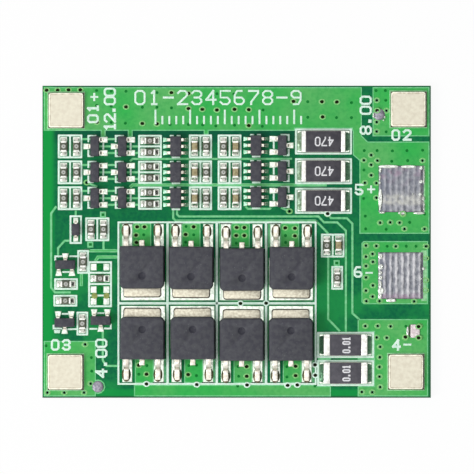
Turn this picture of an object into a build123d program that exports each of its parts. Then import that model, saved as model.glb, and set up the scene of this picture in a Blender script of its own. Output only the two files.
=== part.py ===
from build123d import *
import os

# Battery management board: a populated circuit board with eight power transistors, two shunts and three
# cell circuits. Millimetres, +Z up. The origin is the centre of the board on its underside, +X along the
# long side and +Y towards the edge with the two upper battery tabs.

# Board stack
board_thickness = 1.2
copper_height = 0.04
solder_height = 0.05
pour_margin = 0.2

# Floor plan, left to right: signal zone, transistor block, output zone
left_zone = 10.95
output_zone = 16.61

# Floor plan, bottom to top: bottom strip, transistor block, cell circuits, top strip
bottom_strip = 2.0
frame_clearance = 0.6
tab_row_gap = 1.5
circuit_clearance = 3.48
circuit_pitch = 3.735
top_zone = 8.75
circuit_count = 3

# Power transistor in a flat moulded package with a metal tab
mosfet_columns = 4
mosfet_width = 6.4
mosfet_length = 6.15
mosfet_height = 2.3
mosfet_gap = 0.71
mosfet_draft = 6.0
mosfet_corner = 0.45
mosfet_dimple_diameter = 1.1
mosfet_dimple_depth = 0.06
mosfet_dimple_offset = 1.25
mosfet_tab_reach = 1.15
mosfet_tab_width = 5.25
mosfet_tab_under = 4.6
mosfet_tab_corner = 0.35
mosfet_lead_reach = 3.0
mosfet_lead_width = 0.76
mosfet_lead_pitch = 2.28
mosfet_metal = 0.5
mosfet_lead_height = 0.95
mosfet_lead_shoulder = 1.1
mosfet_stub_reach = 0.85
mosfet_land_margin = 0.36
mosfet_lead_land_width = 1.45
source_channel = 0.6
gate_clearance = 0.38

# Large chip resistor, 2512 size
large_chip_length = 6.35
large_chip_width = 3.12
large_chip_height = 0.6
large_chip_wrap = 0.06
bleed_terminal = 0.68
shunt_terminal = 0.95
bleed_pitch = 4.275
shunt_pitch = 4.05
large_land_reach = 0.62

# Small chip resistor and capacitor, 0603 size
chip_length = 1.6
chip_width = 0.84
chip_terminal = 0.3
resistor_height = 0.45
capacitor_height = 0.8
chip_inset = 0.03
chip_land_length = 0.78
chip_land_reach = 0.62
chip_land_width = 1.05
bare_land_length = 0.9
bare_land_reach = 0.48
bare_land_width = 1.0

# Bent leads: shares of the run beyond the shoulder and of the metal
lead_slope_share = 0.54
lead_bend_share = 0.5

# Three-lead and six-lead small packages
small_body_length = 2.9
transistor_body_width = 1.3
transistor_body_height = 1.0
transistor_lead_reach = 0.56
transistor_pin_spacing = 0.95
controller_body_width = 1.6
controller_body_height = 1.1
controller_lead_reach = 0.6
controller_pin_pitch = 0.95
controller_lead_width = 0.4
transistor_lead_width = 0.42
small_lead_metal = 0.13
small_body_band = 0.14
small_body_draft = 9.0
small_standoff = 0.04
small_lead_height_share = 0.46
small_lead_shoulder_share = 0.25
transistor_land_length = 1.0
transistor_land_width = 0.82
transistor_land_under = 0.68
controller_land_length = 0.75
controller_land_width = 0.62
controller_land_under = 0.35

# Two-lead diode
diode_body_length = 1.7
diode_body_width = 1.15
diode_body_height = 0.95
diode_lead_reach = 0.4
diode_lead_width = 0.34
diode_land_start = 0.05
diode_land_length = 0.85
diode_land_width = 0.75

# Battery tabs, output pads and sense solder points
tab_size = 5.0
tab_thickness = 0.5
tab_corner_radius = 0.35
tab_land_rim = 0.22
pad_length = 6.6
pad_width = 6.75
pad_ribs = 8
pad_base = 0.12
rib_height = 0.14
sense_diameter = 1.7
sense_height = 0.35
sense_slope = 40.0
sense_block_length = 1.35
sense_block_width = 1.55
sense_land_rim = 0.2
test_land_size = 0.75

# Drilled vias and printed frames
via_diameter = 0.4
via_sides = 8
ink_width = 0.26
ink_height = 0.02
ink_gap = 0.05

# Sides of the small round shapes
small_round_sides = 12

# Derived plan of the board
mosfet_pitch = mosfet_width + mosfet_gap
mosfet_reach = mosfet_tab_reach + mosfet_length + mosfet_lead_reach
block_length = mosfet_columns * mosfet_pitch
block_width = 2 * (frame_clearance + mosfet_reach) + tab_row_gap
board_length = left_zone + block_length + output_zone
circuit_span = circuit_clearance + (circuit_count - 1) * circuit_pitch
board_width = bottom_strip + block_width + circuit_span + top_zone

left, right = -board_length / 2, board_length / 2
bottom, top = -board_width / 2, board_width / 2
block_left = left + left_zone
block_right = block_left + block_length
block_bottom = bottom + bottom_strip
block_top = block_bottom + block_width
middle_line = block_bottom + block_width / 2
circuit_rows = [block_top + circuit_clearance + i * circuit_pitch for i in reversed(range(circuit_count))]
mosfet_x = [block_left + (i + 0.5) * mosfet_pitch for i in range(mosfet_columns)]

laminate_top = board_thickness - copper_height
seat = board_thickness + solder_height


# Positions are read from the nearest edge of the board, or from the transistor block

def west(distance):
    """X at a distance from the left edge."""
    return left + distance


def east(distance):
    """X at a distance from the right edge."""
    return right - distance


def north(distance):
    """Y at a distance below the top edge."""
    return top - distance


def south(distance):
    """Y at a distance above the bottom edge."""
    return bottom + distance


def beyond(distance):
    """X at a distance to the right of the transistor block."""
    return block_right + distance


def above(distance):
    """Y at a distance above the transistor block."""
    return block_top + distance


# Places of the parts: x, y, turn in degrees. A turn of 0 sets a chip upright, and a package with its
# single lead, or its first column of leads, to the left.

bleed_x = west(40.52)
bleed_middle = circuit_rows[1] + 0.16
bleed_places = [(bleed_x, bleed_middle + i * bleed_pitch, 0) for i in (1, 0, -1)]
shunt_x = beyond(4.31)
shunt_places = [(shunt_x, south(3.57) + i * shunt_pitch, 0) for i in (1, 0)]

# The parts of a cell circuit share its row. Those near its right end sit a little higher.
stacked_step = 0.825
right_lift = 0.14
resistor_places = []
capacitor_places = []
transistor_places = []
controller_places = []
for y in circuit_rows:
    resistor_places += [(west(3.05), y, 0), (west(4.9), y, 0)]
    resistor_places += [(west(15.5), y + stacked_step, 90), (west(15.5), y - stacked_step, 90)]
    resistor_places += [(west(23.6), y, 0), (west(26.1), y, 0)]
    capacitor_places += [(west(21.95), y, 0), (west(27.85), y, 0)]
    transistor_places += [(west(7.55), y, 0), (west(11.5), y, 0), (west(34.57), y + right_lift, 180)]
    controller_places += [(west(19.22), y, 0), (west(30.8), y + right_lift, 0)]
resistor_places += [(west(7.0), south(24.3), 0), (west(8.8), south(24.3), 0), (west(5.85), south(19.6), 0)]
resistor_places += [(west(3.4), south(16.4), 90), (west(3.3), south(14.0), 90)]
resistor_places += [(west(8.3), south(17.2), 90), (west(5.75), south(10.7), 0)]
resistor_places += [(beyond(1.61), south(21.95), 0), (beyond(3.11), south(17.3), 0)]
capacitor_places += [(beyond(3.31), south(22.0), 0)]
transistor_places += [(west(3.3), south(19.2), -90)]
transistor_places += [(west(3.2), south(10.85), 90), (west(8.4), south(11.15), 90)]
diode_place = (west(4.8), south(24.25), 0)

tab_places = {
    "battery_tab_upper_left": (west(3.4), north(3.55)),
    "battery_tab_upper_right": (east(3.25), north(3.4)),
    "battery_tab_lower_left": (west(3.3), south(3.7)),
    "battery_tab_lower_right": (east(3.6), south(3.75)),
}
pad_places = {
    "output_pad_positive": (east(4.25), north(14.88)),
    "output_pad_negative": (east(4.33), south(17.62)),
}
sense_places = [(east(7.45), north(4.15)), (west(8.0), south(1.6))]
sense_block_place = (east(2.7), south(9.6))
bare_land_places = [(west(8.3), south(y), 90) for y in (18.85, 15.6, 13.9)]
test_land_places = [(west(8.7), south(26.5)), (west(6.9), south(22.1))]


# Small helpers

def placed(solids, x, y, turn=0, z=None):
    """Solids moved from their own frame to a place on the board."""
    spot = Location((x, y, seat if z is None else z), (0, 0, turn))
    return [spot * solid for solid in solids]


def prism(points, width):
    """A section drawn in the XZ plane and given its width, half to each side."""
    section = make_face(Polyline(*[(x, 0, z) for x, z in points], close=True))
    return extrude(section, amount=width / 2, dir=(0, 1, 0), both=True)


def slab(x0, y0, x1, y1, z0, z1):
    """A rectangular solid between two corners."""
    block = Box(abs(x1 - x0), abs(y1 - y0), z1 - z0, align=(Align.CENTER, Align.CENTER, Align.MIN))
    return Pos((x0 + x1) / 2, (y0 + y1) / 2, z0) * block


def patch(x0, y0, x1, y1):
    """A rectangular area of copper."""
    return Pos((x0 + x1) / 2, (y0 + y1) / 2) * Rectangle(abs(x1 - x0), abs(y1 - y0))


def area(*points):
    """An area of copper with straight edges."""
    return make_face(Polyline(*points, close=True))


def track(width, *points):
    """A copper line of constant width with mitred corners."""
    path = [Vector(*point) for point in points]
    steps = [(b - a).normalized() for a, b in zip(path, path[1:])]
    side = []
    for i, point in enumerate(path):
        before, after = steps[max(i - 1, 0)], steps[min(i, len(steps) - 1)]
        mitre = (before + after).normalized()
        across = Vector(-mitre.Y, mitre.X) * (width / 2 / mitre.dot(after))
        side.append((point + across, point - across))
    return make_face(Polyline(*[a for a, _ in side], *[b for _, b in reversed(side)], close=True))


def gull_lead(start, reach, metal, shoulder, height, width):
    """A lead that leaves a body level at a height, bends down and ends in a flat foot. It runs along +X."""
    foot = shoulder + lead_slope_share * (reach - shoulder)
    bend = lead_bend_share * metal
    outline = [
        (start, height + metal),
        (start + shoulder, height + metal),
        (start + foot, metal),
        (start + reach, metal),
        (start + reach, 0),
        (start + foot - bend, 0),
        (start + shoulder - bend, height),
        (start, height),
    ]
    return prism(outline, width)


# Circuit board with its etched copper

def top_pours():
    """Wide copper areas on the top face, and the round lands of the sense points."""
    inner_left, inner_right = west(pour_margin), east(pour_margin)
    inner_top, inner_bottom = north(pour_margin), south(pour_margin)
    strip_end = east(9.95)
    strip_low = north(6.5)
    strip = area(
        (inner_left, inner_top), (strip_end, inner_top), (strip_end, north(7.2)), (east(9.1), north(8.05)),
        (inner_right, north(8.05)), (inner_right, north(21.35)), (east(10.3), north(21.35)),
        (east(10.3), north(10.8)), (east(11.25), north(10.0)), (east(11.25), strip_low),
        (inner_left, strip_low),
    )
    tongue = 0.35
    for x in (west(8.75), west(12.65), west(23.6)):
        strip += patch(x - tongue, strip_low, x + tongue, circuit_rows[0] + 1.0)
    corner = patch(east(8.4), inner_top, inner_right, north(7.3))
    notch = 0.3
    negative = area(
        (east(10.0), south(22.6) - notch), (east(10.0) + notch, south(22.6)), (east(0.4), south(22.6)),
        (east(0.4), south(13.5)), (east(10.0) + notch, south(13.5)), (east(10.0), south(13.5) + notch),
    )
    battery_negative = patch(east(10.55), south(11.35), east(0.4), inner_bottom)
    lower_left = patch(inner_left, south(8.2), west(7.7), inner_bottom)
    foot = area(
        (west(13.2), inner_bottom), (beyond(2.2), inner_bottom), (beyond(2.2), south(9.4)),
        (beyond(0.36), south(9.4)), (beyond(0.36), block_bottom), (west(13.2), block_bottom),
    )
    sense_land = RegularPolygon(sense_diameter / 2 + sense_land_rim, small_round_sides)
    sense_lands = [Pos(x, y) * sense_land for x, y in sense_places]
    return [strip, corner, negative, battery_negative, lower_left, foot] + sense_lands


def source_pours():
    """Copper between the leads of each power transistor. It stops short of the gate lead."""
    near = tab_row_gap / 2 + mosfet_tab_reach + mosfet_length
    far = block_width / 2
    gate_side = mosfet_lead_pitch - mosfet_lead_land_width / 2 - gate_clearance
    outer_side = (mosfet_pitch - source_channel) / 2
    pours = []
    for x in mosfet_x:
        for side in (1, -1):
            pours.append(patch(x - side * outer_side, middle_line + side * near,
                               x + side * gate_side, middle_line + side * far))
    return pours


def tracks():
    """Narrow copper lines between the parts."""
    fine, wide = 0.3, 0.45
    lines = [
        track(fine, (west(2.0), south(27.6)), (west(1.25), south(26.6)), (west(1.25), south(15.9)),
              (west(1.8), south(15.2)), (west(4.1), south(15.2))),
        track(fine, (west(4.8), south(27.0)), (west(4.8), south(26.1))),
        track(fine, (west(3.9), south(22.65)), (west(3.2), south(22.65)), (west(2.25), south(21.6)),
              (west(2.25), south(20.45))),
        track(wide, (west(5.9), south(21.2)), (west(10.9), south(21.2))),
        track(fine, (west(8.8), south(23.0)), (west(8.8), south(21.2))),
        track(wide, (west(10.9), south(20.3)), (west(8.0), south(20.3)), (west(7.55), south(19.6))),
        track(wide, (west(5.6), south(18.2)), (west(5.6), south(16.1))),
        track(fine, (west(8.7), south(9.6)), (west(8.7), south(5.4)), (west(9.2), south(4.6)),
              (west(10.9), south(4.6))),
        track(fine, (west(6.4), circuit_rows[1] - 1.47), (west(7.9), circuit_rows[1] - 2.1)),
        track(fine, (west(35.6), above(1.6)), (west(34.4), above(2.1))),
        track(fine, (west(29.2), above(2.4)), (west(29.6), above(1.95)), (west(32.8), above(1.95)),
              (west(33.1), above(2.3))),
        track(fine, (west(18.85), above(2.6)), (west(18.85), above(0.6)), (west(19.2), above(0.25)),
              (beyond(0.0), above(0.25)), (beyond(1.71), above(-1.5)), (beyond(1.71), above(-1.9))),
        track(fine, (west(19.4), above(2.6)), (west(19.4), above(1.15)), (west(19.7), above(0.85)),
              (beyond(0.41), above(0.85)), (beyond(1.2), above(0.0)), (beyond(3.1), above(0.0)),
              (beyond(4.36), above(-1.2)), (beyond(4.36), south(9.5))),
        track(fine, (beyond(1.71), above(1.2)), (beyond(2.2), above(0.6)), (beyond(4.5), above(0.6)),
              (beyond(5.3), above(-0.2)), (beyond(5.3), south(12.2)), (beyond(6.3), south(11.3))),
        track(fine, (beyond(1.81), south(21.0)), (beyond(1.81), south(11.35)), (beyond(3.5), south(9.6))),
    ]
    for row, drop, width, end in ((0, 1.8, fine, west(36.0)), (1, 1.82, wide, west(41.0))):
        y = circuit_rows[row] - drop
        lines.append(track(width, (west(12.6), y - 0.35), (west(13.0), y), (end, y)))
    for y in circuit_rows:
        lines.append(track(fine, (west(5.5), y + 1.05), (west(8.5), y + 1.05)))
        lines.append(track(fine, (west(8.9), y - 0.95), (west(13.9), y - 0.95)))
        lines.append(track(fine, (west(8.9), y + 1.05), (west(10.6), y + 1.05)))
        lines.append(track(fine, (west(8.0), y), (west(10.3), y)))
        lines.append(track(fine, (west(12.0), y), (west(13.9), y)))
    return lines


def bottom_pours():
    """Copper areas on the underside, joined to the top ones by the vias."""
    inner_left, inner_right = west(pour_margin), east(pour_margin)
    channel = 0.6
    split = block_right + 2.6
    return [
        patch(inner_left, north(pour_margin), east(9.6), north(7.0)),
        patch(east(9.6) + channel, north(pour_margin), inner_right, north(7.3)),
        patch(split + channel, north(8.0), inner_right, north(21.4)),
        patch(split + channel, south(22.6), inner_right, south(13.4)),
        patch(split + channel, south(11.4), inner_right, south(pour_margin)),
        patch(block_left, south(pour_margin), split, south(22.6)),
        patch(inner_left, south(pour_margin), west(8.2), south(8.2)),
    ]


def via_places():
    """Centres of the open plated holes in the output zone, at the lower left tab and between the circuits."""
    upper = [
        (7.8, 2.1), (6.4, 3.6), (7.8, 5.25), (7.8, 6.6), (8.6, 10.0), (9.65, 10.75), (7.7, 10.8), (1.2, 10.8),
        (8.6, 11.4), (8.6, 12.9), (9.5, 14.0), (7.85, 14.05), (7.85, 16.15), (4.0, 18.55), (7.3, 19.75),
        (5.85, 19.7), (4.5, 19.75), (3.8, 20.65), (0.9, 20.65),
    ]
    places = [(east(x), north(y)) for x, y in upper]
    lower = [
        (9.35, 21.95), (7.85, 21.9), (5.05, 21.85), (0.7, 21.85), (8.4, 20.75), (9.35, 20.35), (8.35, 19.6),
        (9.35, 19.0), (9.35, 17.35), (8.35, 16.2), (9.35, 15.45), (8.4, 14.6), (9.3, 13.95), (7.4, 13.95),
        (2.4, 13.9), (0.72, 20.1), (0.72, 16.95), (0.75, 15.5), (9.45, 10.35), (7.65, 10.35), (5.8, 10.3),
        (1.65, 10.35), (3.7, 8.65), (1.65, 8.65), (7.8, 8.7), (6.35, 8.65), (7.3, 7.35), (7.35, 5.85),
        (7.4, 4.45), (7.4, 3.05), (7.3, 1.55), (9.95, 0.85), (8.45, 0.8),
    ]
    places += [(east(x), south(y)) for x, y in lower]
    corner = [(6.15, 7.7), (6.95, 2.05), (0.7, 0.75), (3.15, 0.75), (6.0, 0.75)]
    places += [(west(x), south(y)) for x, y in corner]
    places += [(west(6.4), circuit_rows[1] - 1.47), (west(35.6), above(1.6)), (beyond(1.71), above(1.2))]
    return places


def circuit_board(cleared):
    """Glass-fibre board with its copper in relief on both faces, cleared where other shapes meet the
    laminate, and drilled."""
    board = slab(left, bottom, right, top, copper_height, laminate_top)
    relief = Sketch() + top_pours() + source_pours() + tracks()
    relief = relief - cleared
    underside = Sketch() + bottom_pours()
    board += extrude(Pos(0, 0, laminate_top) * relief, amount=copper_height)
    board += extrude(underside, amount=copper_height)
    bore = extrude(RegularPolygon(via_diameter / 2, via_sides), amount=board_thickness)
    return board - [Pos(x, y, 0) * bore for x, y in via_places()]


# Lands: the tinned areas that the parts are soldered to

def pair_lands(places, reach, length, width):
    """Two lands for each two-ended part, centred at reach plus half a length from its middle."""
    shapes = []
    for x, y, turn in places:
        for side in (1, -1):
            land = Rectangle(width, length)
            shapes.append(Pos(x, y) * Rot(0, 0, turn) * Pos(0, side * (reach + length / 2)) * land)
    return shapes


def pin_lands(places, pins, offset, length, width):
    """One land for each pin, given as side and position along the package."""
    shapes = []
    for x, y, turn in places:
        for side, along in pins:
            land = Rectangle(length, width)
            shapes.append(Pos(x, y) * Rot(0, 0, turn) * Pos(side * (offset + length / 2), along) * land)
    return shapes


transistor_pins = [(-1, 0), (1, transistor_pin_spacing), (1, -transistor_pin_spacing)]
controller_pins = [(side, i * controller_pin_pitch) for side in (-1, 1) for i in (1, 0, -1)]


def laminate_lands():
    """Lands of the small parts, which stand free on the laminate or end a track."""
    shapes = pair_lands(resistor_places, chip_land_reach, chip_land_length, chip_land_width)
    shapes += pair_lands(capacitor_places, chip_land_reach, chip_land_length, chip_land_width)
    shapes += pair_lands(bare_land_places, bare_land_reach, bare_land_length, bare_land_width)
    start = transistor_body_width / 2 + transistor_lead_reach - transistor_land_under
    shapes += pin_lands(transistor_places, transistor_pins, start, transistor_land_length,
                        transistor_land_width)
    start = controller_body_width / 2 + controller_lead_reach - controller_land_under
    shapes += pin_lands(controller_places, controller_pins, start, controller_land_length,
                        controller_land_width)
    reach = diode_body_length / 2 + diode_land_start
    shapes += pair_lands([diode_place], reach, diode_land_length, diode_land_width)
    shapes += [Pos(x, y) * Rectangle(test_land_size, test_land_size) for x, y in test_land_places]
    shapes += bleed_lands()
    return shapes


def bleed_lands():
    """Lands of the three bleed resistors."""
    length = bleed_terminal + large_land_reach
    reach = large_chip_length / 2 - bleed_terminal
    return pair_lands([(x, y, turn + 90) for x, y, turn in bleed_places], reach, length, large_chip_width)


def shunt_lands():
    """Lands of the two shunts, which lie on wide copper."""
    length = shunt_terminal + large_land_reach
    reach = large_chip_length / 2 - shunt_terminal
    return pair_lands([(x, y, turn + 90) for x, y, turn in shunt_places], reach, length, large_chip_width)


def mosfet_land_shapes():
    """In the frame of a transistor: its tab land and two lead lands, with the leads towards +X."""
    tab_end = -mosfet_length / 2 - mosfet_tab_reach - mosfet_land_margin
    tab_land = patch(tab_end, -mosfet_width / 2, tab_end + mosfet_length, mosfet_width / 2)
    start, end = mosfet_length / 2, mosfet_length / 2 + mosfet_lead_reach + mosfet_land_margin
    half = mosfet_lead_land_width / 2
    lands = [patch(start, y - half, end, y + half) for y in (mosfet_lead_pitch, -mosfet_lead_pitch)]
    return tab_land, lands[0], lands[1]


def mosfet_places():
    """Name, x, y and turn of each power transistor. The tabs of the two rows face each other."""
    offset = tab_row_gap / 2 + mosfet_tab_reach + mosfet_length / 2
    places = []
    for row, side in (("upper", 1), ("lower", -1)):
        for i, x in enumerate(mosfet_x):
            places.append((f"{row}_{i + 1}", x, middle_line + side * offset, 90 * side))
    return places


def mosfet_lands():
    """Lands of the power transistors: tab and gate lands stand free, source lands lie on wide copper."""
    tab_land, gate_land, source_land = mosfet_land_shapes()
    free, on_copper = [], []
    for _, x, y, turn in mosfet_places():
        spot = Pos(x, y) * Rot(0, 0, turn)
        free += [spot * tab_land, spot * gate_land]
        on_copper.append(spot * source_land)
    return free, on_copper


def solder_lands(free_shapes, copper_shapes):
    """Thin solder on every land: from the laminate where the land stands free, else from the copper."""
    free = [extrude(Pos(0, 0, laminate_top) * shape, amount=seat - laminate_top) for shape in free_shapes]
    on_copper = [extrude(Pos(0, 0, board_thickness) * shape, amount=solder_height) for shape in copper_shapes]
    return free + on_copper


# Legend: printed frames round the parts

def printed_frame(x_lines, y_lines):
    """A frame with its dividers, given the centre lines of its ink."""
    half = ink_width / 2
    frame = patch(x_lines[0] - half, y_lines[0] - half, x_lines[-1] + half, y_lines[-1] + half)
    windows = []
    for x0, x1 in zip(x_lines, x_lines[1:]):
        for y0, y1 in zip(y_lines, y_lines[1:]):
            windows.append(patch(x0 + half, y0 + half, x1 - half, y1 - half))
    return frame - windows


def frame_lines(centres, half):
    """Centre lines of a frame round parts in a row, with a divider between each two."""
    centres = sorted(centres)
    margin = half + ink_gap + ink_width / 2
    middles = [(a + b) / 2 for a, b in zip(centres, centres[1:])]
    return [centres[0] - margin] + middles + [centres[-1] + margin]


def part_frame(places, half_length, half_width):
    """Frame round parts that stand side by side, all turned the same way."""
    along = frame_lines([0], half_length)
    first_x, first_y, turn = places[0]
    if turn == 0:
        across = frame_lines([x for x, _, _ in places], half_width)
        return printed_frame(across, [first_y + v for v in along])
    across = frame_lines([y for _, y, _ in places], half_width)
    return printed_frame([first_x + v for v in along], across)


def legend_frames():
    """All printed frames: the grid round the power transistors and one for each group of chips."""
    chip_half_length = chip_land_reach + chip_land_length
    chip_half_width = chip_land_width / 2
    columns = [block_left + i * mosfet_pitch for i in range(mosfet_columns + 1)]
    frames = [printed_frame(columns, [block_bottom, middle_line, block_top])]
    per_circuit = 6
    groups = []
    for i in range(circuit_count):
        first = i * per_circuit
        chips = resistor_places[first:first + per_circuit]
        capacitors = capacitor_places[2 * i:2 * i + 2]
        groups += [chips[0:2], chips[2:4], [capacitors[0], chips[4]], [chips[5], capacitors[1]]]
    others = resistor_places[per_circuit * circuit_count:]
    column = [bare_land_places[0], others[5], *bare_land_places[1:]]
    groups += [others[0:2], others[2:3], others[3:4], others[4:5], column, others[6:7]]
    groups += [[others[7], capacitor_places[-1]], others[8:9]]
    frames += [part_frame(group, chip_half_length, chip_half_width) for group in groups]
    diode_half = diode_body_length / 2 + diode_land_start + diode_land_length
    frames.append(part_frame([diode_place], diode_half, diode_body_width / 2))
    for x, y, _ in bleed_places + shunt_places:
        half = large_chip_length / 2 + large_land_reach
        frames.append(part_frame([(x, y, 90)], half, large_chip_width / 2))
    return Sketch() + frames


# Power transistor, in its own frame: seat at z 0, leads towards +X

def mosfet_body(metal):
    """Moulded body with a drafted crown, cut corners at the tab end and a round mould mark."""
    half_length, half_width, cut = mosfet_length / 2, mosfet_width / 2, mosfet_corner
    outline = make_face(Polyline(
        (half_length, half_width), (-half_length + cut, half_width), (-half_length, half_width - cut),
        (-half_length, -half_width + cut), (-half_length + cut, -half_width), (half_length, -half_width),
        close=True,
    ))
    parting = mosfet_lead_height + mosfet_metal
    base = extrude(outline, amount=parting)
    crown = Pos(0, 0, parting) * extrude(outline, amount=mosfet_height - parting, taper=mosfet_draft)
    mark = extrude(RegularPolygon(mosfet_dimple_diameter / 2, small_round_sides), amount=mosfet_dimple_depth)
    return base + crown - metal - Pos(-mosfet_dimple_offset, 0, mosfet_height - mosfet_dimple_depth) * mark


def mosfet_leadframe():
    """Tab with its exposed underside, two bent leads and the cut-off middle lead."""
    end = -mosfet_length / 2 - mosfet_tab_reach
    half, cut = mosfet_tab_width / 2, mosfet_tab_corner
    inner = end + mosfet_tab_reach + mosfet_tab_under
    tab = extrude(make_face(Polyline(
        (end, half - cut), (end + cut, half), (inner, half), (inner, -half), (end + cut, -half),
        (end, -half + cut), close=True,
    )), amount=mosfet_metal)
    start = mosfet_length / 2
    lead = gull_lead(start, mosfet_lead_reach, mosfet_metal, mosfet_lead_shoulder, mosfet_lead_height,
                     mosfet_lead_width)
    leads = [Pos(0, side * mosfet_lead_pitch, 0) * lead for side in (1, -1)]
    half_stub = mosfet_lead_width / 2
    stub = slab(start, -half_stub, start + mosfet_stub_reach, half_stub, mosfet_lead_height,
                mosfet_lead_height + mosfet_metal)
    return [tab] + leads + [stub]


# Large chip resistor, in its own frame: length along X

def large_chip_body(terminal):
    """Ceramic slab with the cover of its resistor raised between the terminals."""
    half, wrap, height = large_chip_length / 2, large_chip_wrap, large_chip_height
    inner = half - terminal
    return prism([
        (-half + wrap, wrap), (half - wrap, wrap), (half - wrap, height - wrap), (inner, height - wrap),
        (inner, height), (-inner, height), (-inner, height - wrap), (-half + wrap, height - wrap),
    ], large_chip_width)


def large_chip_terminals(terminal):
    """Two plated ends wrapped round the ceramic, top, end and underside."""
    half, wrap, height = large_chip_length / 2, large_chip_wrap, large_chip_height
    inner = half - terminal
    right_end = prism([
        (inner, 0), (half, 0), (half, height), (inner, height), (inner, height - wrap),
        (half - wrap, height - wrap), (half - wrap, wrap), (inner, wrap),
    ], large_chip_width)
    return [right_end, Rot(0, 0, 180) * right_end]


# Small chips, in their own frame: length along Y

def chip_body(height):
    """Body between the two end terminals, a little lower and narrower than they are."""
    half_width = chip_width / 2 - chip_inset
    half_length = chip_length / 2 - chip_terminal
    return slab(-half_width, -half_length, half_width, half_length, chip_inset, height - chip_inset)


def chip_terminals(height):
    """The two end terminals."""
    half_width, half_length = chip_width / 2, chip_length / 2
    inner = half_length - chip_terminal
    return [slab(-half_width, s * inner, half_width, s * half_length, 0, height) for s in (1, -1)]


# Small packages, in their own frame: leads along X

def small_body(width, length, height, lead_height):
    """Moulded body: a level band at the leads, with drafted walls above and below it."""
    outline = Rectangle(width, length)
    low, high = lead_height, lead_height + small_body_band
    crown = Pos(0, 0, high) * extrude(outline, amount=height - high, taper=small_body_draft)
    band = Pos(0, 0, low) * extrude(outline, amount=small_body_band)
    base = Pos(0, 0, low) * extrude(outline, amount=small_standoff - low, taper=small_body_draft)
    return crown + band + base


def small_leads(pins, width, height, reach, lead_width):
    """Bent leads of a small package, one for each pin."""
    shoulder = reach * small_lead_shoulder_share
    lead = gull_lead(width / 2, reach, small_lead_metal, shoulder, lead_height_of(height), lead_width)
    leads = []
    for side, along in pins:
        leads.append(Pos(0, along, 0) * (lead if side > 0 else Rot(0, 0, 180) * lead))
    return leads


def lead_height_of(body_height):
    """Height at which the leads leave a small body."""
    return small_lead_height_share * body_height


# Tabs, pads and solder points

def battery_tab():
    """Flat plated square with rounded corners, for a welded or soldered strip."""
    return extrude(RectangleRounded(tab_size, tab_size, tab_corner_radius), amount=tab_thickness)


def output_pad():
    """Tinned land with a row of rounded ridges of solder, side by side along X."""
    pitch = pad_length / pad_ribs
    section = Line((-pad_length / 2, 0), (pad_length / 2, 0))
    section += Line((pad_length / 2, 0), (pad_length / 2, pad_base))
    for i in reversed(range(pad_ribs)):
        x = -pad_length / 2 + i * pitch
        section += ThreePointArc((x + pitch, pad_base), (x + pitch / 2, pad_base + rib_height), (x, pad_base))
    section += Line((-pad_length / 2, pad_base), (-pad_length / 2, 0))
    return extrude(Plane.XZ * make_face(section), amount=pad_width / 2, both=True)


def sense_point():
    """Low round hump of solder."""
    base = RegularPolygon(sense_diameter / 2, small_round_sides)
    return extrude(base, amount=sense_height, taper=sense_slope)


def sense_block():
    """Low squarish hump of solder."""
    return extrude(Rectangle(sense_block_length, sense_block_width), amount=sense_height, taper=sense_slope)


# Build and write every node

def save(node, solids):
    """One STEP file for each node."""
    shape = solids[0] if len(solids) == 1 else Compound(children=list(solids))
    export_step(shape, os.path.join("parts", node + ".step"))


os.makedirs("parts", exist_ok=True)

free_lands, copper_lands = mosfet_lands()
free_lands += laminate_lands()
copper_lands += shunt_lands()
tab_land_size = tab_size + 2 * tab_land_rim
copper_lands += [Pos(x, y) * Rectangle(tab_land_size, tab_land_size) for x, y in tab_places.values()]
ink = legend_frames()

save("circuit_board", [circuit_board(free_lands + ink.faces())])
save("solder_lands", solder_lands(free_lands, copper_lands))
save("legend_frames", extrude(Pos(0, 0, laminate_top) * ink, amount=copper_height + ink_height).solids())

tab = battery_tab()
for node, (x, y) in tab_places.items():
    save(node, placed([tab], x, y))
pad = output_pad()
for node, (x, y) in pad_places.items():
    save(node, placed([pad], x, y, z=board_thickness))
sense = [placed([sense_point()], x, y, z=board_thickness)[0] for x, y in sense_places]
sense += placed([sense_block()], *sense_block_place, z=board_thickness)
save("sense_solder_points", sense)

leadframe = mosfet_leadframe()
body = mosfet_body(leadframe)
for name, x, y, turn in mosfet_places():
    save("mosfet_body_" + name, placed([body], x, y, turn))
    save("mosfet_leadframe_" + name, placed(leadframe, x, y, turn))

for kind, places, terminal in (
    ("bleed_resistor", bleed_places, bleed_terminal),
    ("shunt_resistor", shunt_places, shunt_terminal),
):
    for i, (x, y, turn) in enumerate(places):
        save(f"{kind}_body_{i + 1}", placed([large_chip_body(terminal)], x, y, turn))
        save(f"{kind}_terminals_{i + 1}", placed(large_chip_terminals(terminal), x, y, turn))

small_pins = []
transistor = small_body(transistor_body_width, small_body_length, transistor_body_height,
                        lead_height_of(transistor_body_height))
transistor_leads = small_leads(transistor_pins, transistor_body_width, transistor_body_height,
                               transistor_lead_reach, transistor_lead_width)
for i, (x, y, turn) in enumerate(transistor_places):
    save(f"transistor_body_{i + 1}", placed([transistor], x, y, turn))
    small_pins += placed(transistor_leads, x, y, turn)

controller = small_body(controller_body_width, small_body_length, controller_body_height,
                        lead_height_of(controller_body_height))
controller_leads = small_leads(controller_pins, controller_body_width, controller_body_height,
                               controller_lead_reach, controller_lead_width)
for i, (x, y, turn) in enumerate(controller_places):
    save(f"controller_body_{i + 1}", placed([controller], x, y, turn))
    small_pins += placed(controller_leads, x, y, turn)

x, y, turn = diode_place
diode = small_body(diode_body_length, diode_body_width, diode_body_height,
                   lead_height_of(diode_body_height))
diode_leads = small_leads([(1, 0), (-1, 0)], diode_body_length, diode_body_height,
                          diode_lead_reach, diode_lead_width)
save("diode_body", placed([diode], x, y, turn + 90))
small_pins += placed(diode_leads, x, y, turn + 90)
save("small_package_leads", small_pins)

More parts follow.
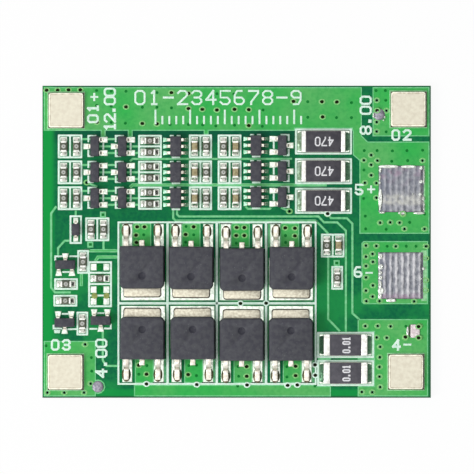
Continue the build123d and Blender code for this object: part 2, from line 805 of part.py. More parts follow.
for kind, places, height in (
    ("resistor", resistor_places, resistor_height),
    ("capacitor", capacitor_places, capacitor_height),
):
    bodies = [placed([chip_body(height)], *place)[0] for place in places]
    ends = [solid for place in places for solid in placed(chip_terminals(height), *place)]
    save(f"chip_{kind}_bodies", bodies)
    save(f"chip_{kind}_terminals", ends)
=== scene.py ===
"""The battery management board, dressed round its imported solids, with its studio and its camera."""

import logging
import math
from collections.abc import Callable, Iterable, Mapping, Sequence
from dataclasses import dataclass, field
from enum import Enum
from typing import TypeVar

import bmesh
import bpy
from bmesh.types import BMEdge, BMesh, BMFace, BMVert
from bpy.types import Material, Mesh, Node, NodeOutputs, NodeSocket, NodeTree, Object
from mathutils import Matrix, Vector, noise


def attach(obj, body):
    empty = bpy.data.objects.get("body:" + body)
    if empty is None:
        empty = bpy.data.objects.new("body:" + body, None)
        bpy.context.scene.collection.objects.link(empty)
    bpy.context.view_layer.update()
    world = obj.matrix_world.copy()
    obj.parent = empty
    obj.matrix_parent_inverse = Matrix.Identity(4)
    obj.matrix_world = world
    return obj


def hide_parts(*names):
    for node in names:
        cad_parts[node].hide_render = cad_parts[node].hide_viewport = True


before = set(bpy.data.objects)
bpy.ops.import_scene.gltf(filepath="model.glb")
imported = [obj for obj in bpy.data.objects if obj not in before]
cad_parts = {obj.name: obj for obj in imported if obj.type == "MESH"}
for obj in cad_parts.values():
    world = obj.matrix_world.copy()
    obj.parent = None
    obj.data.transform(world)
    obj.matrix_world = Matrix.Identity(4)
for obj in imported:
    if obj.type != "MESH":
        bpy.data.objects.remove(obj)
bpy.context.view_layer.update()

LOG = logging.getLogger("board")

MM = 0.001
SEAT = 1.25
COPPER_TOP = 1.2
BOARD_HALF_X = 28.0
BOARD_HALF_Y = 22.5

Rgb = tuple[int, int, int]
Point = tuple[float, float]
Quad = tuple[float, float, float, float]
Stroke = tuple[Point, Point]
Item = TypeVar("Item")


# Nodes and finishes


def linear(colour: Rgb) -> tuple[float, float, float, float]:
    """Turns a colour of 0 to 255 into the linear values that a shader takes.

    Args:
        colour: Red, green and blue as a screen shows them.

    Returns:
        Linear red, green and blue, and an alpha of one.
    """
    shares = [part / 255 for part in colour]
    flat = [s / 12.92 if s <= 0.04045 else ((s + 0.055) / 1.055) ** 2.4 for s in shares]
    return (flat[0], flat[1], flat[2], 1.0)


class Bench:
    """Lays out nodes in one tree and wires them.

    Attributes:
        tree: The node tree being wired.
    """

    def __init__(self, tree: NodeTree) -> None:
        """Takes the tree to work in."""
        self.tree = tree

    def node(self, kind: str, feeds: Mapping[str | int, object] | None = None, **settings: object) -> Node:
        """Adds a node.

        Args:
            kind: The node's type.
            feeds: A value or another node's socket for each input, by name or place.
            **settings: The node's own settings.

        Returns:
            The new node.
        """
        made = self.tree.nodes.new(kind)
        for key, value in settings.items():
            setattr(made, key, value)
        self.feed(made, feeds or {})
        return made

    def feed(self, made: Node, feeds: Mapping[str | int, object]) -> None:
        """Sets or links the inputs of a node.

        Args:
            made: The node.
            feeds: A value or another node's socket for each input, by name or place.
        """
        for key, value in feeds.items():
            if isinstance(value, NodeSocket):
                self.tree.links.new(value, made.inputs[key])
            else:
                made.inputs[key].default_value = value

    def math(self, operation: str, *values: object) -> NodeSocket:
        """Adds a Math node and returns its result."""
        return self.node("ShaderNodeMath", dict(enumerate(values)), operation=operation).outputs[0]

    def times(self, value: object, share: object) -> NodeSocket:
        """Multiplies two values and returns the product."""
        return self.math("MULTIPLY", value, share)

    def ramp(self, value: object, low: object, high: object) -> NodeSocket:
        """Adds a smooth step from 0 at low to 1 at high, and returns it."""
        feeds = {"Value": value, "From Min": low, "From Max": high}
        return self.node("ShaderNodeMapRange", feeds, interpolation_type="SMOOTHSTEP").outputs["Result"]

    def tint(self, share: object, low: object, high: object) -> NodeSocket:
        """Mixes two colours by a share.

        Args:
            share: The share of the second colour.
            low: The first colour, as a socket or as 0 to 255.
            high: The second colour, the same way.

        Returns:
            The mixed colour.
        """
        pair = [c if isinstance(c, NodeSocket) else linear(c) for c in (low, high)]
        feeds = {0: share, 6: pair[0], 7: pair[1]}
        return self.node("ShaderNodeMix", feeds, data_type="RGBA").outputs[2]

    def place(self) -> NodeSocket:
        """Returns the place on the board in millimetres."""
        spot = self.node("ShaderNodeTexCoord").outputs["Object"]
        return self.node("ShaderNodeMapping", {"Vector": spot, "Scale": (1 / MM,) * 3}).outputs["Vector"]

    def seen(self) -> NodeSocket:
        """Tells what the camera sees, straight on, mirrored or through something clear.

        Returns:
            1 for such a ray.
        """
        path = self.node("ShaderNodeLightPath").outputs
        straight = self.math("MAXIMUM", path["Is Camera Ray"], path["Is Glossy Ray"])
        return self.math("MAXIMUM", straight, path["Is Transmission Ray"])


def blank_material(name: str) -> tuple[Material, Node]:
    """Starts a material.

    Args:
        name: The material's name.

    Returns:
        The material and its shader.
    """
    material = bpy.data.materials.new(name)
    material.use_nodes = True
    return material, material.node_tree.nodes["Principled BSDF"]


def effect_bench(name: str, values: Mapping[str, float], output: str) -> tuple[Bench, NodeOutputs]:
    """Starts a shader node group that reads a place and some values.

    Args:
        name: The group's name.
        values: The default of each value input, by name.
        output: The name of its output.

    Returns:
        A bench in the group and the sockets that it is given.
    """
    tree = bpy.data.node_groups.new(name, "ShaderNodeTree")
    tree.interface.new_socket("Place", in_out="INPUT", socket_type="NodeSocketVector")
    for label, default in values.items():
        made = tree.interface.new_socket(label, in_out="INPUT", socket_type="NodeSocketFloat")
        made.default_value = default
    tree.interface.new_socket(output, in_out="OUTPUT", socket_type="NodeSocketFloat")
    bench = Bench(tree)
    return bench, bench.node("NodeGroupInput").outputs


def mottle_group() -> NodeTree:
    """Builds the group that gives soft uneven patches.

    Returns:
        A group with a Mask output that is 1 in the patches.
    """
    bench, given = effect_bench("soft patches", {"Size": 1.0, "Balance": 0.5, "Softness": 0.2}, "Mask")
    scale = bench.math("DIVIDE", 1.0, given["Size"])
    cloud = bench.node("ShaderNodeTexNoise", {"Vector": given["Place"], "Scale": scale, "Detail": 4.0})
    low = bench.math("SUBTRACT", given["Balance"], given["Softness"])
    high = bench.math("ADD", given["Balance"], given["Softness"])
    bench.node("NodeGroupOutput", {"Mask": bench.ramp(cloud.outputs["Fac"], low, high)})
    return bench.tree


def fleck_group() -> NodeTree:
    """Builds the group that scatters small flecks.

    Returns:
        A group with a Mask output that is 1 in a fleck.
    """
    bench, given = effect_bench("scattered flecks", {"Spacing": 0.5, "Size": 0.2}, "Mask")
    scale = bench.math("DIVIDE", 1.0, given["Spacing"])
    cell = bench.node("ShaderNodeTexVoronoi", {"Vector": given["Place"], "Scale": scale})
    tone = bench.node("ShaderNodeSeparateColor", {"Color": cell.outputs["Color"]})
    reach = bench.times(tone.outputs["Red"], given["Size"])
    edge = bench.math("SUBTRACT", reach, cell.outputs["Distance"])
    bench.node("NodeGroupOutput", {"Mask": bench.ramp(edge, 0.0, 0.06)})
    return bench.tree


def grain_group() -> NodeTree:
    """Builds the group that gives the height of a fine uneven skin.

    Returns:
        A group with a Height output round zero.
    """
    bench, given = effect_bench("fine skin", {"Size": 0.1}, "Height")
    scale = bench.math("DIVIDE", 1.0, given["Size"])
    fine = bench.node("ShaderNodeTexNoise", {"Vector": given["Place"], "Scale": scale, "Detail": 3.0})
    wide_scale = bench.times(scale, 0.22)
    wide = bench.node("ShaderNodeTexNoise", {"Vector": given["Place"], "Scale": wide_scale, "Detail": 2.0})
    both = bench.math("MULTIPLY_ADD", wide.outputs["Fac"], 0.8, fine.outputs["Fac"])
    bench.node("NodeGroupOutput", {"Height": both})
    return bench.tree


@dataclass(frozen=True)
class SharedEffects:
    """The node groups that every finish draws on, built once."""

    mottle: NodeTree = field(default_factory=mottle_group)  # Soft uneven patches
    fleck: NodeTree = field(default_factory=fleck_group)  # Small scattered flecks
    grain: NodeTree = field(default_factory=grain_group)  # The height of a fine skin


class Surface(Bench):
    """A bench in a material of the board, with the shared effects at hand.

    Attributes:
        effects: The shared node groups.
        spot: The place on the board, in millimetres.
    """

    def __init__(self, tree: NodeTree, effects: SharedEffects) -> None:
        """Takes the material's tree and the shared effects."""
        super().__init__(tree)
        self.effects = effects
        self.spot = self.place()

    def patches(self, size: float, balance: float, soft: float) -> NodeSocket:
        """Lays soft patches and returns their mask."""
        feeds = {"Place": self.spot, "Size": size, "Balance": balance, "Softness": soft}
        return self.node("ShaderNodeGroup", feeds, node_tree=self.effects.mottle).outputs["Mask"]

    def flecks(self, spacing: float, size: float) -> NodeSocket:
        """Scatters flecks and returns their mask."""
        feeds = {"Place": self.spot, "Spacing": spacing, "Size": size}
        return self.node("ShaderNodeGroup", feeds, node_tree=self.effects.fleck).outputs["Mask"]

    def skin(self, size: float, depth: float) -> NodeSocket:
        """Lays the fine skin.

        Args:
            size: The size of its grain, in millimetres.
            depth: Its depth, in millimetres.

        Returns:
            The bumped normal.
        """
        feeds = {"Place": self.spot, "Size": size}
        height = self.node("ShaderNodeGroup", feeds, node_tree=self.effects.grain).outputs["Height"]
        feeds = {"Height": height, "Distance": depth * MM, "Strength": 1.0}
        return self.node("ShaderNodeBump", feeds).outputs["Normal"]


@dataclass(frozen=True)
class Finish:
    """A surface of two mingled tones with flecks, a fine skin and a gloss."""

    name: str
    tone: Rgb  # The main colour, 0 to 255
    shade: Rgb  # The colour of its patches
    patch: float  # How large the patches are, in millimetres
    balance: float = 0.5  # Where the noise tips into a patch
    soft: float = 0.15  # How softly it does
    fleck: Rgb | None = None  # The colour of the flecks, or none
    scatter: Point = (0.3, 0.2)  # Millimetres from one fleck to the next, and its size as a share of that
    rough: Point = (0.35, 0.55)  # The roughness of the main tone and that of a patch
    metallic: float = 0.0  # 1 for bare metal
    coat: float = 0.0  # The weight of a clear layer on top
    gloss: float = 0.2  # How strongly it reflects from straight above, 0.5 for plain plastic
    skin: Point = (0.12, 0.004)  # The size of the skin's grain and its depth, in millimetres

    def make(self, effects: SharedEffects) -> Material:
        """Builds the material.

        Args:
            effects: The shared node groups.

        Returns:
            The finished material.
        """
        material, shader = blank_material(self.name)
        bench = Surface(material.node_tree, effects)
        mask = bench.patches(self.patch, self.balance, self.soft)
        plain, patched = self.rough
        feeds = {
            "Base Color": self.colour(bench),
            "Roughness": bench.math("MULTIPLY_ADD", mask, patched - plain, plain),
            "Normal": bench.skin(*self.skin),
            "Metallic": self.metallic,
            "Coat Weight": self.coat,
            "Coat Roughness": 0.25,
            "Specular IOR Level": self.gloss,
        }
        bench.feed(shader, feeds)
        return material

    def colour(self, bench: Surface) -> NodeSocket:
        """Lays the two tones and the flecks.

        Args:
            bench: The bench in the material.

        Returns:
            The colour.
        """
        mixed = bench.tint(bench.patches(self.patch, self.balance, self.soft), self.tone, self.shade)
        if self.fleck is None:
            return mixed
        return bench.tint(bench.flecks(*self.scatter), mixed, self.fleck)


@dataclass(frozen=True)
class MaskedBoard(Finish):
    """The green mask: bright over copper, deep over bare laminate and paler where light leaks in at the rim.

    A step is a pair of places in millimetres, from where its share is 0 to where it is 1.
    """

    pour_light: Rgb = (100, 188, 106)  # The paler green of the pours
    laminate: Rgb = (6, 102, 66)  # The deep green between the pours
    laminate_light: Rgb = (28, 138, 72)  # The same where light reaches it through the board
    rim: Rgb = (20, 154, 68)  # The green along the left and lower rim, painted light that leaks in through the board's edge
    edge: Rgb = (34, 96, 60)  # The dark sawn edge of the board, widened at the right and lower rim by painted shade
    deep: Rgb = (2, 70, 58)  # Painted shade: the darkest laminate, just below the upper pour
    cloud: float = 9.0  # The size of the paler patches on the pours
    glow: float = 5.0  # The size of the paler patches on the laminate
    smudge: float = 0.5  # The size of the small darker patches
    left_step: Point = (-25.9, -26.9)  # Where the left rim's green starts, along X
    lower_step: Point = (-20.9, -21.6)  # Where the lower rim's green starts, along Y
    south_step: Point = (2.0, -9.0)  # Where the laminate takes on more light, along Y
    trench_y_step: Point = (13.6, 15.0)  # Where that painted shade starts, along Y
    trench_x_step: Point = (17.5, 16.5)  # Where it ends short of the output zone, along X
    copper_step: Point = (1.172, 1.19)  # From bare laminate to copper, along Z
    under_step: Point = (0.03, 0.01)  # From the top's greens to the underside's, along Z
    near_edge_step: Point = (0.16, 0.04)  # The sawn edge at the left and upper rim, counted inwards
    far_edge_step: Point = (0.36, 0.16)  # The sawn edge and its painted shade at the right and lower rim, counted inwards

    def colour(self, bench: Surface) -> NodeSocket:
        """Lays the greens by height and place.

        Args:
            bench: The bench in the material.

        Returns:
            The colour.
        """
        axes = bench.node("ShaderNodeSeparateXYZ", {"Vector": bench.spot}).outputs
        pour = bench.tint(bench.patches(self.cloud, 0.5, 0.2), self.tone, self.pour_light)
        pour = bench.tint(bench.times(bench.patches(self.smudge, 0.55, 0.2), 0.35), pour, self.shade)
        top = bench.tint(bench.ramp(axes["Z"], *self.copper_step), self.bare(bench, axes), pour)
        whole = bench.tint(bench.ramp(axes["Z"], *self.under_step), top, pour)
        from_right = bench.math("SUBTRACT", BOARD_HALF_X, axes["X"])
        far = bench.math("MINIMUM", from_right, bench.math("ADD", axes["Y"], BOARD_HALF_Y))
        from_above = bench.math("SUBTRACT", BOARD_HALF_Y, axes["Y"])
        near = bench.math("MINIMUM", bench.math("ADD", axes["X"], BOARD_HALF_X), from_above)
        # The dark sawn edge, widened at the right and lower rim by painted shade
        whole = bench.tint(bench.ramp(near, *self.near_edge_step), whole, self.edge)
        return bench.tint(bench.ramp(far, *self.far_edge_step), whole, self.edge)

    def bare(self, bench: Surface, axes: NodeOutputs) -> NodeSocket:
        """Lays the greens between the pours.

        Args:
            bench: The bench in the material.
            axes: The three parts of its place.

        Returns:
            The colour.
        """
        south = bench.math("ADD", bench.ramp(axes["Y"], *self.south_step), 0.25)
        glow = bench.times(bench.patches(self.glow, 0.52, 0.12), south)
        bare = bench.tint(glow, self.laminate, self.laminate_light)
        bare = bench.tint(bench.times(bench.patches(self.smudge, 0.5, 0.2), 0.3), bare, self.shade)
        # Painted shade on the laminate just below the upper pour
        trench = bench.ramp(axes["X"], *self.trench_x_step)
        trench = bench.times(bench.ramp(axes["Y"], *self.trench_y_step), trench)
        bare = bench.tint(bench.times(trench, 0.6), bare, self.deep)
        # Painted light: the laminate is paler where light leaks in at the left and lower rim
        lower = bench.times(bench.ramp(axes["Y"], *self.lower_step), 0.8)
        lit = bench.math("MAXIMUM", bench.ramp(axes["X"], *self.left_step), lower)
        return bench.tint(lit, bare, self.rim)


@dataclass(frozen=True)
class RibbedSolder(Finish):
    """Solder wiped over the output pads: ribs painted pale as highlights on a greyer bed, darker at the left
    of each pad.
    """

    # The painted highlight along each rib
    rib: Rgb = (206, 204, 206)
    shadow: Rgb = (102, 106, 116)  # The dark bed at the left
    cream: Rgb = (182, 182, 172)  # The pale band low on the upper pad
    # The tarnish at the foot of the lower pad and at the head of the upper one
    violet: Rgb = (140, 122, 138)
    pitch: float = 0.845  # From rib to rib, in millimetres
    first: float = 22.32  # Where the first rib is lightest
    left_step: Point = (23.2, 21.4)  # Where the bed darkens to the left, along X
    head_step: Point = (6.9, 7.8)  # Where it darkens on the upper pad, along Y
    lower_step: Point = (2.0, 0.0)  # Where the ribs grow stronger towards the lower pad, along Y
    band_step: Point = (5.0, 5.6)  # Where the pale band starts, along Y
    band_end: Point = (7.1, 6.5)  # Where it ends
    foot_step: Point = (-7.1, -7.9)  # Where the lower tarnish starts, along Y
    tarnish_step: Point = (7.4, 10.4)  # Where the upper tarnish starts, along Y

    def colour(self, bench: Surface) -> NodeSocket:
        """Lays the bed, its zones and the ribs.

        Args:
            bench: The bench in the material.

        Returns:
            The colour.
        """
        axes = bench.node("ShaderNodeSeparateXYZ", {"Vector": bench.spot}).outputs
        bed = super().colour(bench)
        bed = bench.tint(bench.times(bench.ramp(axes["X"], *self.left_step), 0.8), bed, self.shadow)
        bed = bench.tint(bench.times(bench.ramp(axes["Y"], *self.head_step), 0.45), bed, self.shadow)
        ribbed = bench.tint(self.ribs(bench, axes), bed, self.rib)
        band = bench.times(bench.ramp(axes["Y"], *self.band_step), bench.ramp(axes["Y"], *self.band_end))
        band = bench.times(band, bench.times(bench.patches(0.6, 0.45, 0.25), 0.6))
        ribbed = bench.tint(band, ribbed, self.cream)
        foot = bench.times(bench.ramp(axes["Y"], *self.foot_step), bench.patches(0.7, 0.5, 0.3))
        head = bench.times(bench.ramp(axes["Y"], *self.tarnish_step), bench.patches(1.3, 0.56, 0.1))
        return bench.tint(bench.math("MAXIMUM", foot, bench.times(head, 0.7)), ribbed, self.violet)

    def ribs(self, bench: Surface, axes: NodeOutputs) -> NodeSocket:
        """Paints the highlight along the swaying ribs, patchy along their length.

        Args:
            bench: The bench in the material.
            axes: The three parts of its place.

        Returns:
            A mask of painted highlight that is strongest along each rib.
        """
        sway = bench.times(bench.patches(1.1, 0.5, 0.35), 0.3)
        along = bench.math("SUBTRACT", bench.math("ADD", axes["X"], sway), self.first)
        wave = bench.math("COSINE", bench.times(along, 2 * math.pi / self.pitch))
        patchy_sheen = bench.math("MULTIPLY_ADD", bench.patches(0.8, 0.5, 0.2), 0.6, 0.4)
        strength = bench.math("MULTIPLY_ADD", bench.ramp(axes["Y"], *self.lower_step), 0.34, 0.3)
        return bench.times(bench.times(bench.ramp(wave, -0.3, 0.95), patchy_sheen), strength)


# Shapes


PEN_STROKES = {
    "0": "01 05 16 36 45 41 30 10 01",
    "1": "15 26/26 20/10 30",
    "2": "05 16 36 45 44 00/00 40",
    "3": "05 16 36 45 44 33 42 41 30 10 01/13 33",
    "4": "30 36/36 02/02 42",
    "5": "46 06 03 33 42 41 30 10 01",
    "6": "36 16 04 01 10 30 41 42 33 03",
    "7": "06 46/46 45 11 10",
    "8": "13 04 05 16 36 45 44 33 13 02 01 10 30 41 42 33",
    "9": "10 30 42 45 36 16 05 04 13 43",
    "-": "03 43",
    "+": "03 43/21 25",
    ".": "10 11 21 20 10",
}


@dataclass(frozen=True)
class Box:
    """The least and greatest corner of a piece, in millimetres."""

    low: Vector
    high: Vector

    @classmethod
    def around(cls, places: Iterable[Vector]) -> "Box":
        """Returns the box round some places."""
        sides = list(zip(*places))
        return cls(Vector([min(side) for side in sides]), Vector([max(side) for side in sides]))

    @property
    def size(self) -> Vector:
        """Returns the three sides."""
        return self.high - self.low

    @property
    def centre(self) -> Vector:
        """Returns the middle."""
        return (self.high + self.low) / 2

    @property
    def upright(self) -> bool:
        """Tells whether the longer side runs along Y."""
        return self.size.y > self.size.x

    def distance(self, other: "Box") -> float:
        """Returns how far two boxes are apart on the board."""
        gaps = [max(self.low[i] - other.high[i], other.low[i] - self.high[i], 0.0) for i in (0, 1)]
        return math.hypot(*gaps)


def islands(items: Iterable[Item], near: Callable[[Item], Iterable[Item]]) -> list[list[Item]]:
    """Sorts the parts of a mesh into the groups that hang together.

    Args:
        items: The parts.
        near: Gives the neighbours of a part.

    Returns:
        The groups, in the order of their first parts.
    """
    seen: set[Item] = set()
    groups = []
    for first in items:
        if first in seen:
            continue
        seen.add(first)
        group = [first]
        for item in group:
            fresh = [other for other in dict.fromkeys(near(item)) if other not in seen]
            seen.update(fresh)
            group += fresh
        groups.append(group)
    return groups


def merged_copy(node: str) -> BMesh:
    """Copies the mesh of a CAD node in millimetres, with its doubles merged.

    Args:
        node: The node's name.

    Returns:
        The copy.
    """
    copy = bmesh.new()
    copy.from_mesh(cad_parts[node].data)
    bmesh.ops.scale(copy, vec=(1 / MM,) * 3, verts=copy.verts)
    bmesh.ops.remove_doubles(copy, verts=copy.verts, dist=1e-4)
    return copy


def solids_of(node: str) -> list[Box]:
    """Reads the separate solids of a CAD node.

    Args:
        node: The node's name.

    Returns:
        The box of each solid, in the order of the mesh.
    """
    copy = merged_copy(node)
    groups = islands(copy.verts, lambda vert: [edge.other_vert(vert) for edge in vert.link_edges])
    boxes = [Box.around(vert.co for vert in group) for group in groups]
    copy.free()
    return boxes


class Turn(Enum):
    """The four ways that a part can face on the board, in degrees."""

    UP = 0
    LEFT = 90
    DOWN = 180
    RIGHT = 270

    def matrix(self) -> Matrix:
        """Returns the turn about an upright axis."""
        return Matrix.Rotation(math.radians(self.value), 4, "Z")


def spot(x: float, y: float, z: float = 0.0, turn: Turn = Turn.UP) -> Matrix:
    """Returns the matrix that sets a pattern down at a place on the board."""
    return Matrix.Translation((x, y, z)) @ turn.matrix()


@dataclass(frozen=True)
class Run:
    """A straight stretch of a metal strip."""

    length: float


@dataclass(frozen=True)
class Bend:
    """A fold of a metal strip, downwards where its angle is positive."""

    degrees: float
    radius: float  # The radius of the strip's middle
    steps: int = 4


class Mould:
    """A mesh in millimetres, grown by bmesh operators.

    Attributes:
        mesh: The bmesh being shaped.
        dress: The place of the finish that new faces take.
    """

    def __init__(self, mesh: BMesh | None = None) -> None:
        """Starts empty or from a mesh, on the first finish."""
        self.mesh = bmesh.new() if mesh is None else mesh
        self.dress = 0

    def _faces(self, verts: Iterable[BMVert]) -> list[BMFace]:
        """Gives the faces round some points the present finish.

        Args:
            verts: The points.

        Returns:
            The faces.
        """
        faces = list(dict.fromkeys(face for vert in verts for face in vert.link_faces))
        for face in faces:
            face.material_index = self.dress
        return faces

    def posts(self, least: float = 0.01) -> list[BMEdge]:
        """Returns the edges that rise by more than a given height."""
        return [e for e in self.mesh.edges if abs(e.verts[0].co.z - e.verts[1].co.z) > least]

    def rounded(self, edges: Iterable[BMEdge], width: float, steps: int = 2) -> None:
        """Bevels some edges.

        Args:
            edges: The edges.
            width: How far they are rounded.
            steps: In how many steps.
        """
        bmesh.ops.bevel(
            self.mesh, geom=list(edges), offset=width, offset_type="OFFSET", affect="EDGES", segments=steps,
            profile=0.5, material=-1, clamp_overlap=True,
        )

    def block(
        self, low: Sequence[float], high: Sequence[float], edge: float = 0.0, steps: int = 2
    ) -> list[BMVert]:
        """Adds a block between two corners.

        Args:
            low: Its least corner.
            high: Its greatest corner.
            edge: How far its edges are rounded.
            steps: In how many steps.

        Returns:
            Its eight corners, of use where none is rounded.
        """
        box = Box(Vector(low), Vector(high))
        place = Matrix.Translation(box.centre) @ Matrix.Diagonal((*box.size, 1.0))
        verts = bmesh.ops.create_cube(self.mesh, size=1.0, matrix=place)["verts"]
        self._faces(verts)
        if edge > 0:
            self.rounded(dict.fromkeys(e for vert in verts for e in vert.link_edges), edge, steps)
        return verts

    def plate(
        self, low: Sequence[float], high: Sequence[float], corner: float, rim: float, steps: int,
        front: float = math.inf,
    ) -> None:
        """Fills an empty mould with a flat plate, its upright corners rounded first and then its rims.

        Args:
            low: Its least corner.
            high: Its greatest corner.
            corner: How far its upright corners are rounded.
            rim: How far its level edges are.
            steps: In how many steps those are, with two more for the corners.
            front: The Y below which a corner is rounded.
        """
        self.block(low, high)
        self.rounded([e for e in self.posts() if e.verts[0].co.y < front], corner, steps + 2)
        level = [e for e in self.mesh.edges if abs(e.verts[0].co.z - e.verts[1].co.z) < 1e-5]
        self.rounded([e for e in level if e.calc_face_angle(0) > 1.2], rim, steps)

    def moulding(self, box: Box, parting: float, drafts: Point, edge: float, corner: float = 0.0) -> None:
        """Fills an empty mould with a block that draws in above and below its parting line.

        Args:
            box: The block.
            parting: The height of the parting line.
            drafts: How far the top and the bottom draw in.
            edge: How far its edges are rounded.
            corner: How far the two upright corners at the least Y are cut.
        """
        self.block(box.low, box.high)
        if corner > 0:
            self.rounded([e for e in self.posts() if e.verts[0].co.y < box.centre.y], corner, 1)
        items = self.mesh.verts[:] + self.mesh.edges[:] + self.mesh.faces[:]
        plane = {"plane_co": (0, 0, parting), "plane_no": (0, 0, 1)}
        cut = bmesh.ops.bisect_plane(self.mesh, geom=items, dist=1e-5, **plane)["geom_cut"]
        belt = {item for item in cut if isinstance(item, BMEdge)}
        for level, draft in zip((box.high.z, box.low.z), drafts):
            ring = [vert for vert in self.mesh.verts if abs(vert.co.z - level) < 1e-5]
            shrink = [1 - 2 * draft / box.size[i] for i in (0, 1)]
            bmesh.ops.scale(self.mesh, vec=(*shrink, 1.0), space=Matrix.Translation(-box.centre), verts=ring)
        self.rounded([e for e in self.mesh.edges if e not in belt], edge, 3)

    def turned(self, outline: Sequence[Point], steps: int = 20, shut: bool = False) -> None:
        """Turns an outline of radius and height about the upright axis.

        Args:
            outline: The points of the outline, from the inside outwards.
            steps: In how many steps.
            shut: Whether the last point joins the first, as on a ring.
        """
        verts = [self.mesh.verts.new((radius, 0.0, height)) for radius, height in outline]
        pairs = list(zip(verts, verts[1:])) + ([(verts[-1], verts[0])] if shut else [])
        edges = [self.mesh.edges.new(pair) for pair in pairs]
        before = set(self.mesh.verts) - set(verts)
        bmesh.ops.spin(
            self.mesh, geom=verts + edges, cent=(0, 0, 0), axis=(0, 0, 1), dvec=(0, 0, 0), angle=2 * math.pi,
            steps=steps, use_merge=True, use_normal_flip=False, use_duplicate=False,
        )
        fresh = [vert for vert in self.mesh.verts if vert not in before]
        bmesh.ops.remove_doubles(self.mesh, verts=fresh, dist=1e-5)
        fresh = [vert for vert in self.mesh.verts if vert not in before]
        bmesh.ops.recalc_face_normals(self.mesh, faces=self._faces(fresh))

    def strip(
        self, width: float, thick: float, start: Point, legs: Sequence[Run | Bend], edge: float = 0.0
    ) -> None:
        """Draws out a flat metal strip along Y and folds it.

        Args:
            width: The strip's width along X.
            thick: Its thickness.
            start: The Y and Z of its middle at the near end.
            legs: Its straight stretches and folds, in order.
            edge: How far its long edges are rounded.
        """
        first = legs[0]
        heading, spot_now = Vector((0, 1, 0)), Vector((0, start[0] + first.length, start[1]))
        half = Vector((width / 2, 0, thick / 2))
        self.block(
            (-half.x, start[0], start[1] - half.z), (half.x, start[0] + first.length, start[1] + half.z)
        )
        self.mesh.faces.ensure_lookup_table()
        end = max(self.mesh.faces[-6:], key=lambda face: face.calc_center_median().y)
        for leg in legs[1:]:
            old = end
            if isinstance(leg, Run):
                made = bmesh.ops.extrude_face_region(self.mesh, geom=[old])["geom"]
                moved = [item for item in made if isinstance(item, BMVert)]
                bmesh.ops.translate(self.mesh, verts=moved, vec=heading * leg.length)
                spot_now = spot_now + heading * leg.length
            else:
                sign = 1 if leg.degrees > 0 else -1
                across = Vector((1, 0, 0)).cross(heading)
                centre = spot_now - across * leg.radius * sign
                angle = -math.radians(leg.degrees)
                made = bmesh.ops.spin(
                    self.mesh, geom=[old], cent=centre, axis=(1, 0, 0), dvec=(0, 0, 0), angle=angle,
                    steps=leg.steps, use_merge=False, use_normal_flip=False, use_duplicate=False,
                )["geom_last"]
                turn = Matrix.Rotation(angle, 3, "X")
                spot_now = centre + turn @ (spot_now - centre)
                heading = turn @ heading
            end = next(item for item in made if isinstance(item, BMFace))
            bmesh.ops.delete(self.mesh, geom=[old], context="FACES_ONLY")
        for face in self.mesh.faces:
            face.material_index = self.dress
        if edge > 0:
            long_edges = [e for e in self.mesh.edges if abs(e.verts[0].co.x - e.verts[1].co.x) < 1e-5]
            flat = [e for e in long_edges if len(e.link_faces) == 2 and e.calc_face_angle(0) > 1.2]
            self.rounded(flat, edge, 2)

    def wedge(self, half_width: float, reach: float, height: float, foot: float, lean: float = 0.16) -> None:
        """Adds a fillet of solder that runs down from Y zero to its reach.

        Args:
            half_width: Half its width at the top.
            reach: How far it runs along Y.
            height: Its height at Y zero.
            foot: How far its foot spreads at each side.
            lean: How far its sides lean in.
        """
        verts = self.block((-half_width, 0, 0), (half_width, reach, height))
        edges = dict.fromkeys(e for vert in verts for e in vert.link_edges)
        rails = [e for e in edges if abs(e.verts[0].co.y - e.verts[1].co.y) > 1e-5]
        bmesh.ops.subdivide_edges(self.mesh, edges=rails, cuts=3, use_grid_fill=True)
        for vert in self.mesh.verts:
            along = min(max(vert.co.y / reach, 0.0), 1.0)
            if vert.co.z > 0:
                vert.co.z = height * (1 - along) ** 1.5 + 0.02
                vert.co.x *= 1 - lean / half_width
            else:
                vert.co.x *= 1 + foot / half_width * (0.3 + 0.7 * along)
            vert.co.x *= 1 - 0.12 * along**2
        self._faces(self.mesh.verts)

    def figures(
        self, words: str, height: float, pen: float, relief: float, pitch: float, wide: float = 1.05
    ) -> None:
        """Draws plain figures with a pen of one width, centred on the origin.

        Args:
            words: The figures.
            height: How tall they stand on the board.
            pen: How wide the pen is.
            relief: How thick they lie.
            pitch: From one figure to the next, as a share of the height.
            wide: How wide a figure is drawn.
        """
        curve = bpy.data.curves.new("figures", "CURVE")
        curve.dimensions = "3D"
        curve.bevel_depth = pen / 2
        curve.bevel_resolution = 2
        curve.use_fill_caps = True
        unit = (height - pen) / 6
        for number, figure in enumerate(words):
            shift = (number - (len(words) - 1) / 2) * height * pitch
            for stroke in PEN_STROKES[figure].split("/"):
                places = [Vector((int(knot[0]) - 2, int(knot[1]) - 3)) * unit for knot in stroke.split()]
                knots = [Vector((shift + place.x * wide, place.y)) for place in places]
                shut = knots[0] == knots[-1]
                if shut:
                    knots.pop()
                else:
                    for end, near in ((0, 1), (-1, -2)):
                        knots[end] = knots[end] + (knots[end] - knots[near]).normalized() * pen * 0.45
                line = curve.splines.new("POLY")
                line.points.add(len(knots) - 1)
                for point, knot in zip(line.points, knots):
                    point.co = (*knot, 0.0, 1.0)
                line.use_cyclic_u = shut
        carrier = bpy.data.objects.new("figures", curve)
        flat = bpy.data.meshes.new_from_object(carrier)
        sheet = bmesh.new()
        sheet.from_mesh(flat)
        bmesh.ops.scale(sheet, vec=(1, 1, relief / pen), verts=sheet.verts)
        bmesh.ops.remove_doubles(sheet, verts=sheet.verts, dist=1e-5)
        bmesh.ops.recalc_face_normals(sheet, faces=sheet.faces)
        for face in sheet.faces:
            face.material_index = self.dress
        sheet.to_mesh(flat)
        sheet.free()
        bpy.data.objects.remove(carrier)
        bpy.data.curves.remove(curve)
